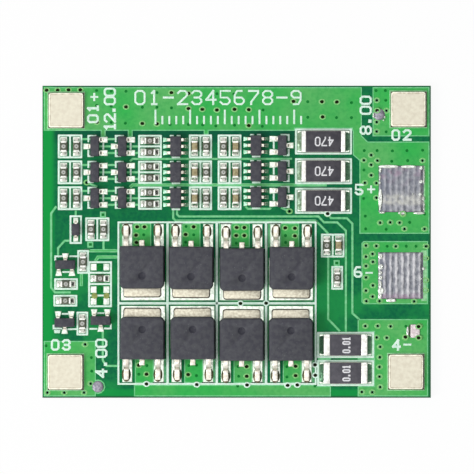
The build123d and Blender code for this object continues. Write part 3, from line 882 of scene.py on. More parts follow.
        self.stamp(flat)

    def pattern(self) -> Mesh:
        """Closes the mould as a mesh that can be stamped.

        Returns:
            The mesh, in millimetres.
        """
        made = bpy.data.meshes.new("pattern")
        self.mesh.to_mesh(made)
        self.mesh.free()
        return made

    def stamp(self, pattern: Mesh, place: Matrix = Matrix.Identity(4)) -> None:
        """Adds a copy of a pattern.

        Args:
            pattern: The pattern.
            place: Where it goes.
        """
        copy = pattern.copy()
        copy.transform(place)
        self.mesh.from_mesh(copy)
        bpy.data.meshes.remove(copy)

    def piece(
        self, name: str, finishes: Sequence[Material], slot: str, nodes: Sequence[str] = (),
        sharp: float = 38.0,
    ) -> None:
        """Closes the mould as a piece of the board.

        Args:
            name: The piece's name.
            finishes: The materials, in the order that dress counts them.
            slot: The name of a material slot; not used.
            nodes: The CAD nodes that the piece stands for.
            sharp: Degrees past which an edge is sharp.
        """
        for edge in self.mesh.edges:
            edge.smooth = edge.calc_face_angle(0.0) < math.radians(sharp)
        for face in self.mesh.faces:
            face.smooth = True
        bmesh.ops.scale(self.mesh, vec=(MM,) * 3, verts=self.mesh.verts)
        made = bpy.data.meshes.new(name)
        self.mesh.to_mesh(made)
        self.mesh.free()
        for material in finishes:
            made.materials.append(material)
        thing = bpy.data.objects.new(name, made)
        bpy.context.collection.objects.link(thing)
        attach(thing, "root")
        if nodes:
            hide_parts(*nodes)
        LOG.info("%s: %d faces", name, len(made.polygons))


STOCK: dict[str, Finish] = {
    "mask": MaskedBoard(
        "green mask", (56, 184, 84), (36, 154, 76), 0.8, rough=(0.3, 0.38), gloss=0.05, skin=(0.35, 0.003),
    ),
    # Paler where the mask thins over the copper's border, and as a painted highlight there
    "border": Finish(
        "mask over a border", (136, 216, 158), (108, 202, 134), 0.6, rough=(0.36, 0.55), gloss=0.05,
        skin=(0.3, 0.002),
    ),
    "ink": Finish(
        "legend ink", (236, 255, 244), (212, 246, 226), 0.35, rough=(0.6, 0.55), skin=(0.12, 0.003),
    ),
    "tin": Finish(
        "tinned land", (222, 228, 216), (186, 196, 184), 0.35, rough=(0.3, 0.42), metallic=1.0,
        skin=(0.22, 0.014),
    ),
    # The outer step of a land's rim, painted darker as the shade on its slope
    "land edge": Finish("edge of a land", (156, 184, 160), (124, 156, 132), 0.4, metallic=0.6),
    "tab land": Finish(
        "land round a tab", (150, 206, 156), (128, 190, 136), 0.6, rough=(0.4, 0.55), metallic=0.3,
    ),
    "mint tin": Finish(
        "tin that mirrors the mask", (194, 238, 212), (148, 204, 170), 0.3, rough=(0.3, 0.55), metallic=0.9,
        skin=(0.2, 0.01),
    ),
    "dark solder": Finish(
        "solder in its own shade", (96, 140, 106), (66, 102, 78), 0.35, rough=(0.25, 0.55), metallic=0.4,
        gloss=0.3, skin=(0.3, 0.004),
    ),
    "grey solder": Finish(
        "dull solder", (158, 184, 160), (106, 130, 102), 0.5, metallic=0.7, skin=(0.3, 0.004),
    ),
    # The solder fillet round each power lead's foot; its dark amber colour is a painted reflection
    "halo": Finish(
        "amber fillet", (128, 118, 92), (84, 76, 56), 0.3, rough=(0.25, 0.55), metallic=0.7,
        skin=(0.2, 0.008),
    ),
    # Painted shade beside a chip and beside the squarish sense point
    "beside_shade": Finish("residue beside a chip", (90, 102, 80), (64, 76, 58), 0.25, skin=(0.12, 0.003)),
    "fillet": Finish(
        "solder fillet", (222, 222, 212), (182, 184, 174), 0.3, rough=(0.22, 0.32), metallic=1.0,
        skin=(0.25, 0.014),
    ),
    # A painted shadow line round each tab
    "tab_outline": Finish("flux residue", (74, 50, 34), (46, 36, 26), 0.4, rough=(0.3, 0.55), coat=0.5),
    "terminal": Finish(
        "bright terminal", (232, 231, 226), (208, 208, 202), 0.35, rough=(0.34, 0.46), metallic=1.0,
        skin=(0.15, 0.008),
    ),
    "tab": Finish(
        "tab plating", (202, 198, 181), (193, 187, 170), 0.6, soft=0.25, fleck=(190, 180, 168),
        scatter=(0.5, 0.18), rough=(0.42, 0.46), metallic=1.0, skin=(0.3, 0.004),
    ),
    "tab rim": Finish(
        "rim of a tab", (226, 222, 205), (214, 208, 192), 0.5, rough=(0.36, 0.55), metallic=1.0,
        skin=(0.12, 0.003),
    ),
    "tab line": Finish(
        "pressed line", (184, 176, 156), (160, 150, 130), 0.5, rough=(0.4, 0.55), metallic=1.0,
        skin=(0.12, 0.003),
    ),
    "heat tab": Finish(
        "metal of a power tab", (204, 200, 182), (184, 177, 159), 0.35, rough=(0.34, 0.44), metallic=1.0,
        skin=(0.2, 0.008),
    ),
    "leadframe": Finish(
        "leadframe plating", (229, 225, 213), (204, 197, 184), 0.4, rough=(0.32, 0.44), metallic=1.0,
        skin=(0.2, 0.01),
    ),
    "ridge": RibbedSolder(
        "ribbed solder", (134, 136, 140), (112, 114, 122), 0.7, rough=(0.34, 0.46), metallic=1.0,
        skin=(0.2, 0.008),
    ),
    "poured": Finish(
        "poured solder", (160, 157, 167), (128, 126, 138), 0.3, rough=(0.5, 0.6), metallic=1.0,
        skin=(0.16, 0.016),
    ),
    "bead": Finish(
        "bead of solder", (234, 240, 232), (206, 208, 202), 0.3, rough=(0.3, 0.55), metallic=0.9,
        skin=(0.2, 0.012),
    ),
    "power epoxy": Finish(
        "power epoxy", (79, 80, 85), (69, 69, 77), 0.7, fleck=(104, 108, 110), rough=(0.55, 0.66),
        skin=(0.09, 0.006),
    ),
    "mark epoxy": Finish(
        "moulded mark", (54, 54, 62), (46, 46, 56), 0.25, rough=(0.4, 0.5), skin=(0.09, 0.004),
    ),
    "small epoxy": Finish(
        "small epoxy", (78, 78, 84), (66, 66, 74), 0.5, fleck=(112, 112, 118), rough=(0.5, 0.62),
        skin=(0.08, 0.004),
    ),
    "cover": Finish(
        "resistor cover", (76, 74, 80), (64, 63, 70), 0.8, rough=(0.42, 0.55), skin=(0.14, 0.004),
    ),
    "shunt cover": Finish(
        "shunt cover", (90, 88, 95), (78, 77, 84), 0.8, rough=(0.42, 0.55), skin=(0.14, 0.004),
    ),
    "glaze": Finish("chip glaze", (102, 108, 92), (82, 88, 72), 0.3, skin=(0.12, 0.003)),
    "ceramic": Finish("white ceramic", (232, 228, 218), (212, 208, 200), 0.3, rough=(0.6, 0.55)),
    "capacitor": Finish("capacitor ceramic", (178, 168, 130), (150, 136, 102), 0.35, rough=(0.5, 0.55)),
    "figures": Finish("marking paint", (238, 238, 240), (220, 220, 224), 0.2, rough=(0.6, 0.55)),
    "chip mark": Finish("mark on a chip", (198, 198, 194), (172, 174, 166), 0.2, rough=(0.5, 0.55)),
    # Painted shade: a hole's bore is dark because little light reaches into it
    "bore": Finish("plated bore", (30, 40, 14), (18, 24, 8), 0.2, rough=(0.6, 0.55), gloss=0.05),
    "ring": Finish(
        "tinned ring", (152, 216, 142), (122, 192, 112), 0.25, rough=(0.4, 0.55), gloss=0.1,
        skin=(0.12, 0.003),
    ),
    "gap shade": Finish(
        "shade beside a body", (24, 48, 42), (14, 34, 30), 0.4, rough=(0.5, 0.55), gloss=0.05,
    ),
    "soft solder": Finish(
        "soft solder", (206, 198, 198), (184, 170, 174), 0.35, rough=(0.36, 0.48), metallic=1.0,
        skin=(0.2, 0.012),
    ),
    "wax": Finish(
        "filled hole", (164, 176, 104), (134, 146, 76), 0.2, rough=(0.5, 0.55), skin=(0.12, 0.003),
    ),
    "dimple": Finish("tented hole", (14, 114, 42), (30, 132, 58), 0.25, gloss=0.03),
}


class Paints:
    """Every finish on the board, built once and shared.

    Attributes:
        jars: The materials by plain name.
    """

    def __init__(self) -> None:
        """Builds each finish of the stock."""
        effects = SharedEffects()
        self.jars = {label: finish.make(effects) for label, finish in STOCK.items()}

    def pick(self, *labels: str) -> list[Material]:
        """Returns some materials by plain name."""
        return [self.jars[label] for label in labels]


# The board and what lies on it


@dataclass
class Assembly:
    """A group of the board's pieces."""

    paints: Paints  # The finishes that they share

    def build(self) -> None:
        """Makes the pieces."""
        raise NotImplementedError


@dataclass
class BareBoard(Assembly):
    """The laminated board and its printed frames."""

    ink_level: float = COPPER_TOP + 0.025  # How high the ink's flat top lies
    ink_rise: float = 0.008  # How far the frames stand above that
    ink_corner: float = 0.09  # How far their upright corners are rounded

    def build(self) -> None:
        """Dresses the board's own solid, and evens and rounds the printed frames."""
        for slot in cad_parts["circuit_board"].material_slots:
            slot.material = self.paints.jars["mask"]
        LOG.info("circuit_board dressed")
        mould = Mould(merged_copy("legend_frames"))
        mould.mesh.normal_update()
        for vert in mould.mesh.verts:
            vert.co.z = min(vert.co.z, self.ink_level) + (self.ink_rise if vert.co.z > COPPER_TOP else 0.0)
        mould.rounded([e for e in mould.posts(0.03) if e.calc_face_angle(0) > 1], self.ink_corner, 2)
        mould.piece("printed_frames", self.paints.pick("ink"), "legend", ["legend_frames"])


@dataclass
class CopperBorders(Assembly):
    """The paler line along every border of the copper: the mask thins there, and its paleness is also a
    painted highlight off the copper's edge.
    """

    width: float = 0.15
    lift: float = 0.006  # How far it stands above the copper

    def build(self) -> None:
        """Takes the copper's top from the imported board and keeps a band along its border."""
        mesh = merged_copy("circuit_board")
        top = [f for f in mesh.faces if f.normal.z > 0.99 and f.calc_center_median().z > COPPER_TOP - 0.01]
        self.keep(mesh, top)
        bands = bmesh.ops.inset_region(
            mesh, faces=mesh.faces[:], thickness=self.width, use_boundary=True, use_even_offset=True
        )["faces"]
        self.keep(mesh, bands)
        raised = bmesh.ops.extrude_face_region(mesh, geom=mesh.faces[:], use_keep_orig=True)["geom"]
        verts = [item for item in raised if isinstance(item, BMVert)]
        bmesh.ops.translate(mesh, verts=verts, vec=(0, 0, self.lift))
        bmesh.ops.recalc_face_normals(mesh, faces=mesh.faces)
        Mould(mesh).piece("copper_borders", self.paints.pick("border"), "board")

    @staticmethod
    def keep(mesh: BMesh, faces: Iterable[BMFace]) -> None:
        """Deletes every face of a mesh apart from the given ones."""
        kept = set(faces)
        bmesh.ops.delete(mesh, geom=[face for face in mesh.faces if face not in kept], context="FACES")


@dataclass
class PlatedHoles(Assembly):
    """The open and the tented holes of the top side."""

    ring: float = 0.46  # The outer radius of a hole's bright ring
    bore: float = 0.25  # The radius of its dark bore
    oval: Point = (1.1, 0.94)  # How far a ring is stretched along X and Y
    drilled_depth: float = 0.5  # How deep a drilled hole is seen
    ink_lift: float = 0.034  # How far a ring stands above the copper in printed ink
    test_half: float = 0.44
    dimple_half: Point = (0.23, 0.21)  # Half the sides of the dimple in a test land
    gap_stretch: Point = (1.6, 2.3)  # How far a dimple between two bare lands is stretched
    inked_spots: tuple[Point, ...] = (  # Holes that stand in the printed lines
        (0.55, -8.9), (4.25, -8.85), (11.3, -17.75), (11.35, -19.25), (-13.0, -20.5), (-5.75, -20.6),
        (1.5, -20.65), (7.35, -20.7), (8.75, -20.65), (13.13, 4.05),
    )
    drowned_spots: tuple[Point, ...] = (  # Holes that stand in a solder point
        (20.25, 18.92), (26.23, -12.23), (26.23, -13.85), (24.33, -13.73), (23.95, 4.05),
    )
    test_spots: tuple[Point, ...] = ((-19.27, 3.9), (-21.1, -0.4), (14.43, -3.07))  # Square test lands
    wax_spots: tuple[Point, ...] = ((-20.5, -7.8), (-18.75, -7.8))  # Holes filled level
    # Dimples between two bare lands
    gap_spots: tuple[Point, ...] = ((-19.76, -3.65), (-19.76, -6.9), (-19.76, -8.6))
    open_spots: tuple[Point, ...] = (  # Holes whose bore is seen
        (-27.4, 21.85), (-25.8, 21.85), (-24.25, 21.9), (-22.55, 21.9), (-20.15, 17.25), (-15.95, 19.45),
        (-13.6, 17.05), (-11.5, 17.0), (-9.4, 21.5), (-6.95, 21.4), (-6.95, 19.2), (-4.95, 19.1),
        (-2.85, 19.0), (-0.3, 19.1), (1.75, 19.05), (1.75, 16.75), (8.2, 20.25), (12.3, 20.2),
        (12.4, 18.0), (14.45, 20.15), (-14.35, 2.15), (-13.3, 2.15), (-14.5, 0.95), (-14.45, -0.1),
        (-6.2, 2.15), (-7.35, 1.05), (0.0, 2.05), (1.1, 2.05), (-0.05, 0.9), (1.1, 0.9), (7.0, 2.0),
        (8.4, 1.95), (8.4, 0.85), (-14.1, -17.8), (-13.0, -19.1), (-7.0, -19.15), (1.45, -18.0),
        (1.45, -19.4), (8.5, -17.95), (8.5, -19.3),
    )
    tented_spots: tuple[Point, ...] = (  # Holes under the mask
        (-20.2, 21.8), (-18.1, 21.7), (-15.95, 21.7), (-20.2, 19.65), (-18.1, 19.55), (-18.1, 17.2),
        (-16.05, 17.1), (-13.6, 19.4), (-11.5, 19.4), (-11.5, 21.5), (-9.4, 19.3), (-9.6, 16.9),
        (-6.95, 16.9), (-4.9, 16.85), (-3.0, 16.7), (-2.85, 21.35), (-0.4, 21.3), (-0.3, 16.8),
        (3.7, 16.65), (3.8, 19.0), (10.25, 20.2), (10.25, 17.95), (14.4, 17.9), (16.55, 20.05),
        (16.55, 17.9), (20.1, 21.8), (21.45, 21.8), (21.5, 20.4), (21.55, 15.85), (18.4, 13.15),
        (20.25, 13.15), (22.45, 13.1), (24.55, 13.15), (26.8, 13.2), (22.35, 11.6), (24.65, 11.7),
        (18.35, 10.35), (18.3, 6.25), (18.55, 3.7), (18.6, 1.85), (21.55, 1.8), (24.95, 2.8), (27.1, 4.0),
        (21.7, -0.65), (24.45, -0.65), (25.85, -0.65), (22.3, -8.5), (24.4, -12.2), (-27.5, -15.0),
        (-20.95, -16.7), (-20.9, -18.65), (-13.4, 1.0), (-7.3, 2.2), (-6.2, 1.0), (-7.35, -0.05),
        (-0.05, -0.2), (7.05, 0.9), (7.05, -0.1), (-14.1, -19.1), (-12.95, -17.85), (-6.9, -17.85),
        (-5.8, -17.8), (-5.8, -19.3), (0.2, -18.0), (0.3, -19.4), (0.15, -20.8), (7.25, -18.0),
        (7.25, -19.5), (11.3, -20.8),
    )

    @staticmethod
    def drilled_spots() -> list[Point]:
        """Reads the centres of the holes that the CAD board is drilled with.

        Returns:
            The centre of each hole, in millimetres.
        """
        copy = merged_copy("circuit_board")
        walls: dict[BMFace, None] = {}
        for face in copy.faces:
            box = Box.around(vert.co for vert in face.verts)
            inside = abs(box.centre.x) < BOARD_HALF_X - 0.1 and abs(box.centre.y) < BOARD_HALF_Y - 0.1
            if box.size.z > 1.0 and inside:
                walls[face] = None
        bores = islands(walls, lambda face: [f for e in face.edges for f in e.link_faces if f in walls])
        centres = [Box.around(vert.co for face in bore for vert in face.verts).centre for bore in bores]
        copy.free()
        return [(centre.x, centre.y) for centre in centres]

    def open_pattern(self, floor: float, lip: float = 0.016) -> Mesh:
        """Builds an open hole: a bright ring round a bore painted dark as the shade inside the hole.

        Args:
            floor: How low the bore's floor lies.
            lip: How high its ring stands.

        Returns:
            The pattern, standing on the copper.
        """
        cup = Mould()
        cup.dress = 1
        wall = self.bore + 0.03
        inside = [(0.0, floor), (self.bore, floor), (self.bore, lip)]
        cup.turned(inside + [(wall, lip), (wall, floor - 0.01), (0.0, floor - 0.01)], 12)
        cup.dress = 0
        inner = [(self.bore + 0.01, -0.01), (self.bore + 0.01, lip), (self.bore + 0.04, lip + 0.004)]
        cup.turned(inner + [(self.ring - 0.03, lip), (self.ring, -0.01)], 14, shut=True)
        pattern = cup.pattern()
        pattern.transform(Matrix.Diagonal((*self.oval, 1.0, 1.0)))
        return pattern

    def inked_pattern(self) -> Mesh:
        """Builds an open hole whose ring is covered with ink.

        Returns:
            The pattern, standing on the copper.
        """
        pattern = self.open_pattern(0.006)
        for face in pattern.polygons:
            face.material_index = 1 if face.material_index == 1 else 3
        return pattern

    def open_holes(self, drilled: Sequence[Point]) -> None:
        """Makes every hole that isn't under the mask.

        Args:
            drilled: The holes of the CAD board.
        """
        button = Mould()
        button.dress = 2
        button.turned([(0.0, 0.05), (0.3, 0.045), (0.42, 0.02), (0.45, -0.05), (0.0, -0.05)], 16)
        kinds = (
            (self.open_pattern(-self.drilled_depth), drilled, COPPER_TOP),
            (self.open_pattern(0.006), self.open_spots, COPPER_TOP),
            (self.inked_pattern(), self.inked_spots, COPPER_TOP + self.ink_lift),
            (self.open_pattern(0.12, 0.24), self.drowned_spots, COPPER_TOP),
            (button.pattern(), self.wax_spots, SEAT),
        )
        mould = Mould()
        for pattern, places, level in kinds:
            for x, y in places:
                mould.stamp(pattern, spot(x, y, level))
        mould.piece("open_holes", self.paints.pick("ring", "bore", "wax", "ink"), "tin")

    def tented_holes(self) -> None:
        """Makes the dimples that the mask draws over a hole, and the test lands."""
        cap = Mould()
        outline = ((0.0, 0.004), (0.08, 0.006), (0.14, 0.016), (0.2, 0.012), (0.24, -0.01), (0.0, -0.01))
        cap.turned(outline, 12)
        tent = cap.pattern()
        mould = Mould()
        for x, y in self.tented_spots:
            mould.stamp(tent, spot(x, y, COPPER_TOP))
        side, (wide, tall) = self.test_half, self.dimple_half
        for x, y in self.test_spots:
            mould.dress = 1
            mould.block((x - side, y - side, COPPER_TOP - 0.03), (x + side, y + side, SEAT + 0.01), 0.02, 1)
            mould.dress = 0
            mould.block((x - wide, y - tall, SEAT - 0.02), (x + wide, y + tall, SEAT + 0.015), 0.02, 1)
        for x, y in self.gap_spots:
            mould.stamp(tent, spot(x, y, SEAT + 0.004) @ Matrix.Diagonal((*self.gap_stretch, 1.0, 1.0)))
        mould.piece("tented_holes", self.paints.pick("dimple", "border"), "board")

    def build(self) -> None:
        """Makes the open and the tented holes."""
        drilled = self.drilled_spots()
        LOG.info("%d drilled holes", len(drilled))
        self.open_holes(drilled)
        self.tented_holes()


@dataclass(frozen=True)
class LandShape:
    """How the lands of one kind of package depart from their solids."""

    waist: float  # The share of its width that a land loses at the body
    flare: float = 0.0  # The share that it gains at its far end
    reach: float = 0.0  # How far it runs on there
    inner_reach: float = 0.0  # How far it does where its lead points to the board's middle


@dataclass
class TinnedLands(Assembly):
    """The bare lands of the board, each a thin crowned bed of tin."""

    crown: float = 0.03  # How far a bed rises from its rim to its top
    border: float = 0.055  # How wide each step of its rim is
    fall: float = 0.03  # How far the rim's foot is lowered
    six: LandShape = LandShape(0.39)  # The lands of the six-lead chips
    # Those of the small transistors in the cell circuits
    row: LandShape = LandShape(0.06, 0.06, 0.12, 0.32)
    corner: LandShape = LandShape(0.36, 0.2, 0.12, 0.12)  # Those of the small transistors at the lower left

    def build(self) -> None:
        """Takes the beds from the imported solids, narrows those of the small packages and crowns all."""
        mesh = merged_copy("solder_lands")
        bmesh.ops.dissolve_limit(mesh, angle_limit=0.02, verts=mesh.verts, edges=mesh.edges)
        tops = [face for face in mesh.faces if face.normal.z > 0.9]
        owners = self.owners()
        for face in tops:
            self.narrow(face, owners)
            if face.calc_area() > 25 and abs(face.calc_center_median().x) > 20:
                face.material_index = 4
        # The outer step of each rim takes the edge finish, painted darker as shade on the slope
        outer = bmesh.ops.inset_individual(
            mesh, faces=tops, thickness=self.border, depth=self.crown * 0.7, use_even_offset=True
        )["faces"]
        for face in outer:
            if face.material_index == 0:
                face.material_index = 1
        tops = [face for face in mesh.faces if face.normal.z > 0.999]
        bmesh.ops.inset_individual(
            mesh, faces=tops, thickness=self.border, depth=self.crown * 0.3, use_even_offset=True
        )
        for vert in mesh.verts:
            if vert.co.z > SEAT:
                vert.co.z -= self.crown - 0.005
            elif vert.co.z > SEAT - 0.005:
                vert.co.z -= self.fall
        bmesh.ops.recalc_face_normals(mesh, faces=mesh.faces)
        finishes = self.paints.pick("tin", "land edge", "mint tin", "dark solder", "tab land")
        Mould(mesh).piece("tinned_lands", finishes, "tin", ["solder_lands"], sharp=60)

    def narrow(self, face: BMFace, owners: Sequence[tuple[Box, LandShape]]) -> None:
        """Narrows one land of a small package towards its body and picks its finish.

        Args:
            face: The land's top.
            owners: The bodies of the small packages and the shapes of their lands.
        """
        centre = face.calc_center_median()
        owner, shape = min(owners, key=lambda pair: (pair[0].centre - centre).xy.length)
        away = (centre - owner.centre).xy
        if face.calc_area() > 1.4 or away.length > 2.3 or len(face.verts) > 6:
            return
        # The lands at the left of a six-lead chip take the mint tin, a painted reflection of the mask, and
        # those at the right painted shade
        if shape is self.six:
            face.material_index = 2 if away.x < 0 else 3
        sideways = abs(away.x) / owner.size.x > abs(away.y) / owner.size.y
        way = Vector((math.copysign(1, away.x), 0)) if sideways else Vector((0, math.copysign(1, away.y)))
        reach = shape.inner_reach if away.x * owner.centre.x < 0 else shape.reach
        for vert in face.verts:
            offset = (vert.co - centre).xy
            along = offset.dot(way)
            spread = -shape.waist if along < 0 else shape.flare
            shift = (offset - way * along) * spread + way * (reach if along > 0 else 0.0)
            below = [end for e in vert.link_edges if abs((end := e.other_vert(vert)).co.z - vert.co.z) > 1e-3]
            for end in (vert, *below):
                end.co += Vector((*shift, 0))

    def owners(self) -> list[tuple[Box, LandShape]]:
        """Finds the small packages.

        Returns:
            Each body's box, with the shape of its lands.
        """
        kinds = (
            ("transistor_body", range(1, 10), self.row),
            ("transistor_body", range(10, 13), self.corner),
            ("controller_body", range(1, 7), self.six),
        )
        return [(solids_of(f"{name}_{i}")[0], shape) for name, numbers, shape in kinds for i in numbers]


@dataclass
class PowerTransistor(Assembly):
    """One flat power transistor: a moulded body on a plate with two bent leads and a stub."""

    width: float = 6.4
    depth: float = 6.15
    height: float = 2.3
    parting: float = 1.45  # The parting line's height above the seat
    drafts: Point = (0.13, 0.221)  # How far the top and the bottom draw in
    corner: float = 0.45  # How far the corners at the tab are cut
    tab_width: float = 5.25
    tab_reach: float = 1.15  # How far it reaches beyond the body
    tab_inner: float = -1.8  # Where it ends under the body
    tab_thick: float = 0.5
    tab_corner: float = 0.35  # How far its corners are rounded
    lead_pitch: float = 2.28  # From the middle to each lead
    lead_width: float = 0.76
    lead_thick: float = 0.5
    lead_level: float = 1.2  # The height of its middle where it leaves the body
    # Its straight stretches and folds, down to the land
    lead_legs: tuple[Run | Bend, ...] = (Run(0.75), Bend(65, 0.42), Run(0.462), Bend(-65, 0.5), Run(1.36))
    stub_half: float = 0.38  # Half the width of the cut-off lead
    stub_reach: float = 0.85  # How far it reaches beyond the body
    overlap: float = 0.2  # How far each lead starts inside the body
    mark_radius: float = 0.55
    mark_depth: float = 0.07
    mark_offset: float = 1.25  # How far it lies from the middle, towards the tab
    ring_reach: float = 2.2  # From the body to the middle of each foot's amber ring
    ring_stretch: float = 1.6  # How much longer than wide that ring is
    shade_upper: Point = (-2.1, 3.0)  # Where the dark gap beside a body starts and ends in the upper row
    shade_lower: Point = (-3.0, 2.5)  # The same in the lower row
    # How far each body has slipped along X and Y and turned, in the upper row
    settle_upper: tuple[tuple[float, float, float], ...] = (
        (-0.13, 0.2, 0.3), (-0.18, 0.1, -0.2), (0.05, -0.12, 0.2), (0.08, 0.06, -0.4),
    )
    settle_lower: tuple[tuple[float, float, float], ...] = (  # The same in the lower row
        (-0.1, -0.04, -0.3), (0.06, -0.04, 0.4), (0.0, -0.25, 0.0), (-0.03, -0.22, 0.3),
    )

    def body(self) -> Mesh:
        """Builds the moulded body, its tab end cut at the corners and a round mark sunk in its top.

        Returns:
            The pattern, its leads' side towards +Y.
        """
        mould = Mould()
        half = Vector((self.width / 2, self.depth / 2, 0))
        box = Box(-half, half + Vector((0, 0, self.height)))
        mould.moulding(box, self.parting, self.drafts, 0.1, self.corner)
        return self.sink_mark(mould.pattern())

    def sink_mark(self, shell: Mesh) -> Mesh:
        """Sinks the round mark into the top of a body.

        Args:
            shell: The body.

        Returns:
            The body with its mark.
        """
        cutter = Mould()
        cutter.dress = 1
        radius, depth = self.mark_radius, self.mark_depth
        cutter.turned([(0.0, -depth), (radius - 0.1, -depth), (radius, 0.0), (radius, 0.3), (0.0, 0.3)], 28)
        tool_mesh = cutter.pattern()
        tool_mesh.transform(Matrix.Translation((0, -self.mark_offset, self.height)))
        tool = bpy.data.objects.new("mark tool", tool_mesh)
        blank = bpy.data.objects.new("mark blank", shell)
        for thing in (tool, blank):
            bpy.context.collection.objects.link(thing)
            for _ in ("body", "mark"):
                thing.data.materials.append(None)
        sink = blank.modifiers.new("sink", "BOOLEAN")
        sink.operation = "DIFFERENCE"
        sink.solver = "EXACT"
        sink.object = tool
        done = bpy.data.meshes.new_from_object(blank.evaluated_get(bpy.context.evaluated_depsgraph_get()))
        for thing in (tool, blank):
            bpy.data.objects.remove(thing)
        return done

    def metal(self) -> Mesh:
        """Builds the tab, the two bent leads and the cut-off middle lead.

        Returns:
            The pattern, its leads towards +Y.
        """
        mould = Mould()
        mould.dress = 3
        half, edge, side = self.tab_width / 2, -self.depth / 2 - self.tab_reach, self.depth / 2
        mould.plate((-half, edge, 0), (half, self.tab_inner, self.tab_thick), self.tab_corner, 0.05, 2, -3)
        lead = Mould()
        start = (side - self.overlap, self.lead_level)
        lead.strip(self.lead_width, self.lead_thick, start, self.lead_legs, 0.07)
        pattern = lead.pattern()
        for way in (-1, 1):
            mould.stamp(pattern, spot(way * self.lead_pitch, 0))
        stub = Mould()
        stub.block(
            (-self.stub_half, side - self.overlap, self.lead_level - self.lead_thick / 2),
            (self.stub_half, side + self.stub_reach, self.lead_level + self.lead_thick / 2),
            0.08,
        )
        mould.stamp(stub.pattern())
        self.painted_shade(mould, edge, side)
        return mould.pattern()

    def painted_shade(self, mould: Mould, edge: float, side: float) -> None:
        """Lays the painted shadow line round the tab and the oval solder fillet round each foot, painted dark
        as a reflection.

        Args:
            mould: The metal's mould.
            edge: The Y of the tab's free end.
            side: The Y of the body's leads' side.
        """
        half = self.tab_width / 2
        # A painted shadow round the tab
        line = Mould()
        line.dress = 1
        line.block((-half - 0.1, edge - 0.15, 0.0), (half + 0.14, edge + 2.0, 0.03))
        line.rounded([e for e in line.posts() if e.verts[0].co.y < edge], 0.42, 4)
        mould.stamp(line.pattern())
        # The oval solder fillet round each foot, painted dark as a reflection
        ring = Mould()
        ring.dress = 2
        ring.turned([(0.3, 0.0), (0.34, 0.3), (0.46, 0.28), (0.6, 0.14), (0.66, 0.0)], 28, shut=True)
        oval = ring.pattern()
        oval.transform(Matrix.Diagonal((1.0, self.ring_stretch, 1.0, 1.0)))
        for way in (-1, 1):
            mould.stamp(oval, spot(way * self.lead_pitch, side + self.ring_reach))

    def shade(self, mould: Mould, middle: Vector, reach: Point) -> None:
        """Lays a dark sheet in the gap at the right of a body, a painted shadow.

        Args:
            mould: The metal's mould.
            middle: The middle of the body on the board.
            reach: Where the gap starts and ends from there, along Y.
        """
        side = middle.x + self.width / 2
        low, high = (middle.y + share for share in reach)
        mould.dress = 4
        mould.block((side - 0.3, low, SEAT - 0.06), (side + 0.14, high, SEAT + 0.04), 0.015, 1)

    def build(self) -> None:
        """Sets the eight transistors down, each as a body and its metal."""
        body, metal = self.body(), self.metal()
        rows = (
            ("upper", Turn.UP, self.settle_upper, self.shade_upper),
            ("lower", Turn.DOWN, self.settle_lower, self.shade_lower),
        )
        for row, turn, settle, reach in rows:
            for column, (slip_x, slip_y, skew) in enumerate(settle, 1):
                node = f"mosfet_body_{row}_{column}"
                centre = solids_of(node)[0].centre
                tilt = Matrix.Rotation(math.radians(skew), 4, "Z")
                place = spot(centre.x + slip_x, centre.y + slip_y, SEAT, turn) @ tilt
                mould = Mould()
                mould.stamp(body, place)
                finishes = self.paints.pick("power epoxy", "mark epoxy")
                mould.piece(f"power_body_{row}_{column}", finishes, "power_epoxy", [node])
                mould = Mould()
                mould.stamp(metal, place)
                self.shade(mould, place.translation, reach)
                finishes = self.paints.pick("leadframe", "tab_outline", "halo", "heat tab", "gap shade")
                node = f"mosfet_leadframe_{row}_{column}"
                mould.piece(f"power_metal_{row}_{column}", finishes, "leadframe", [node])


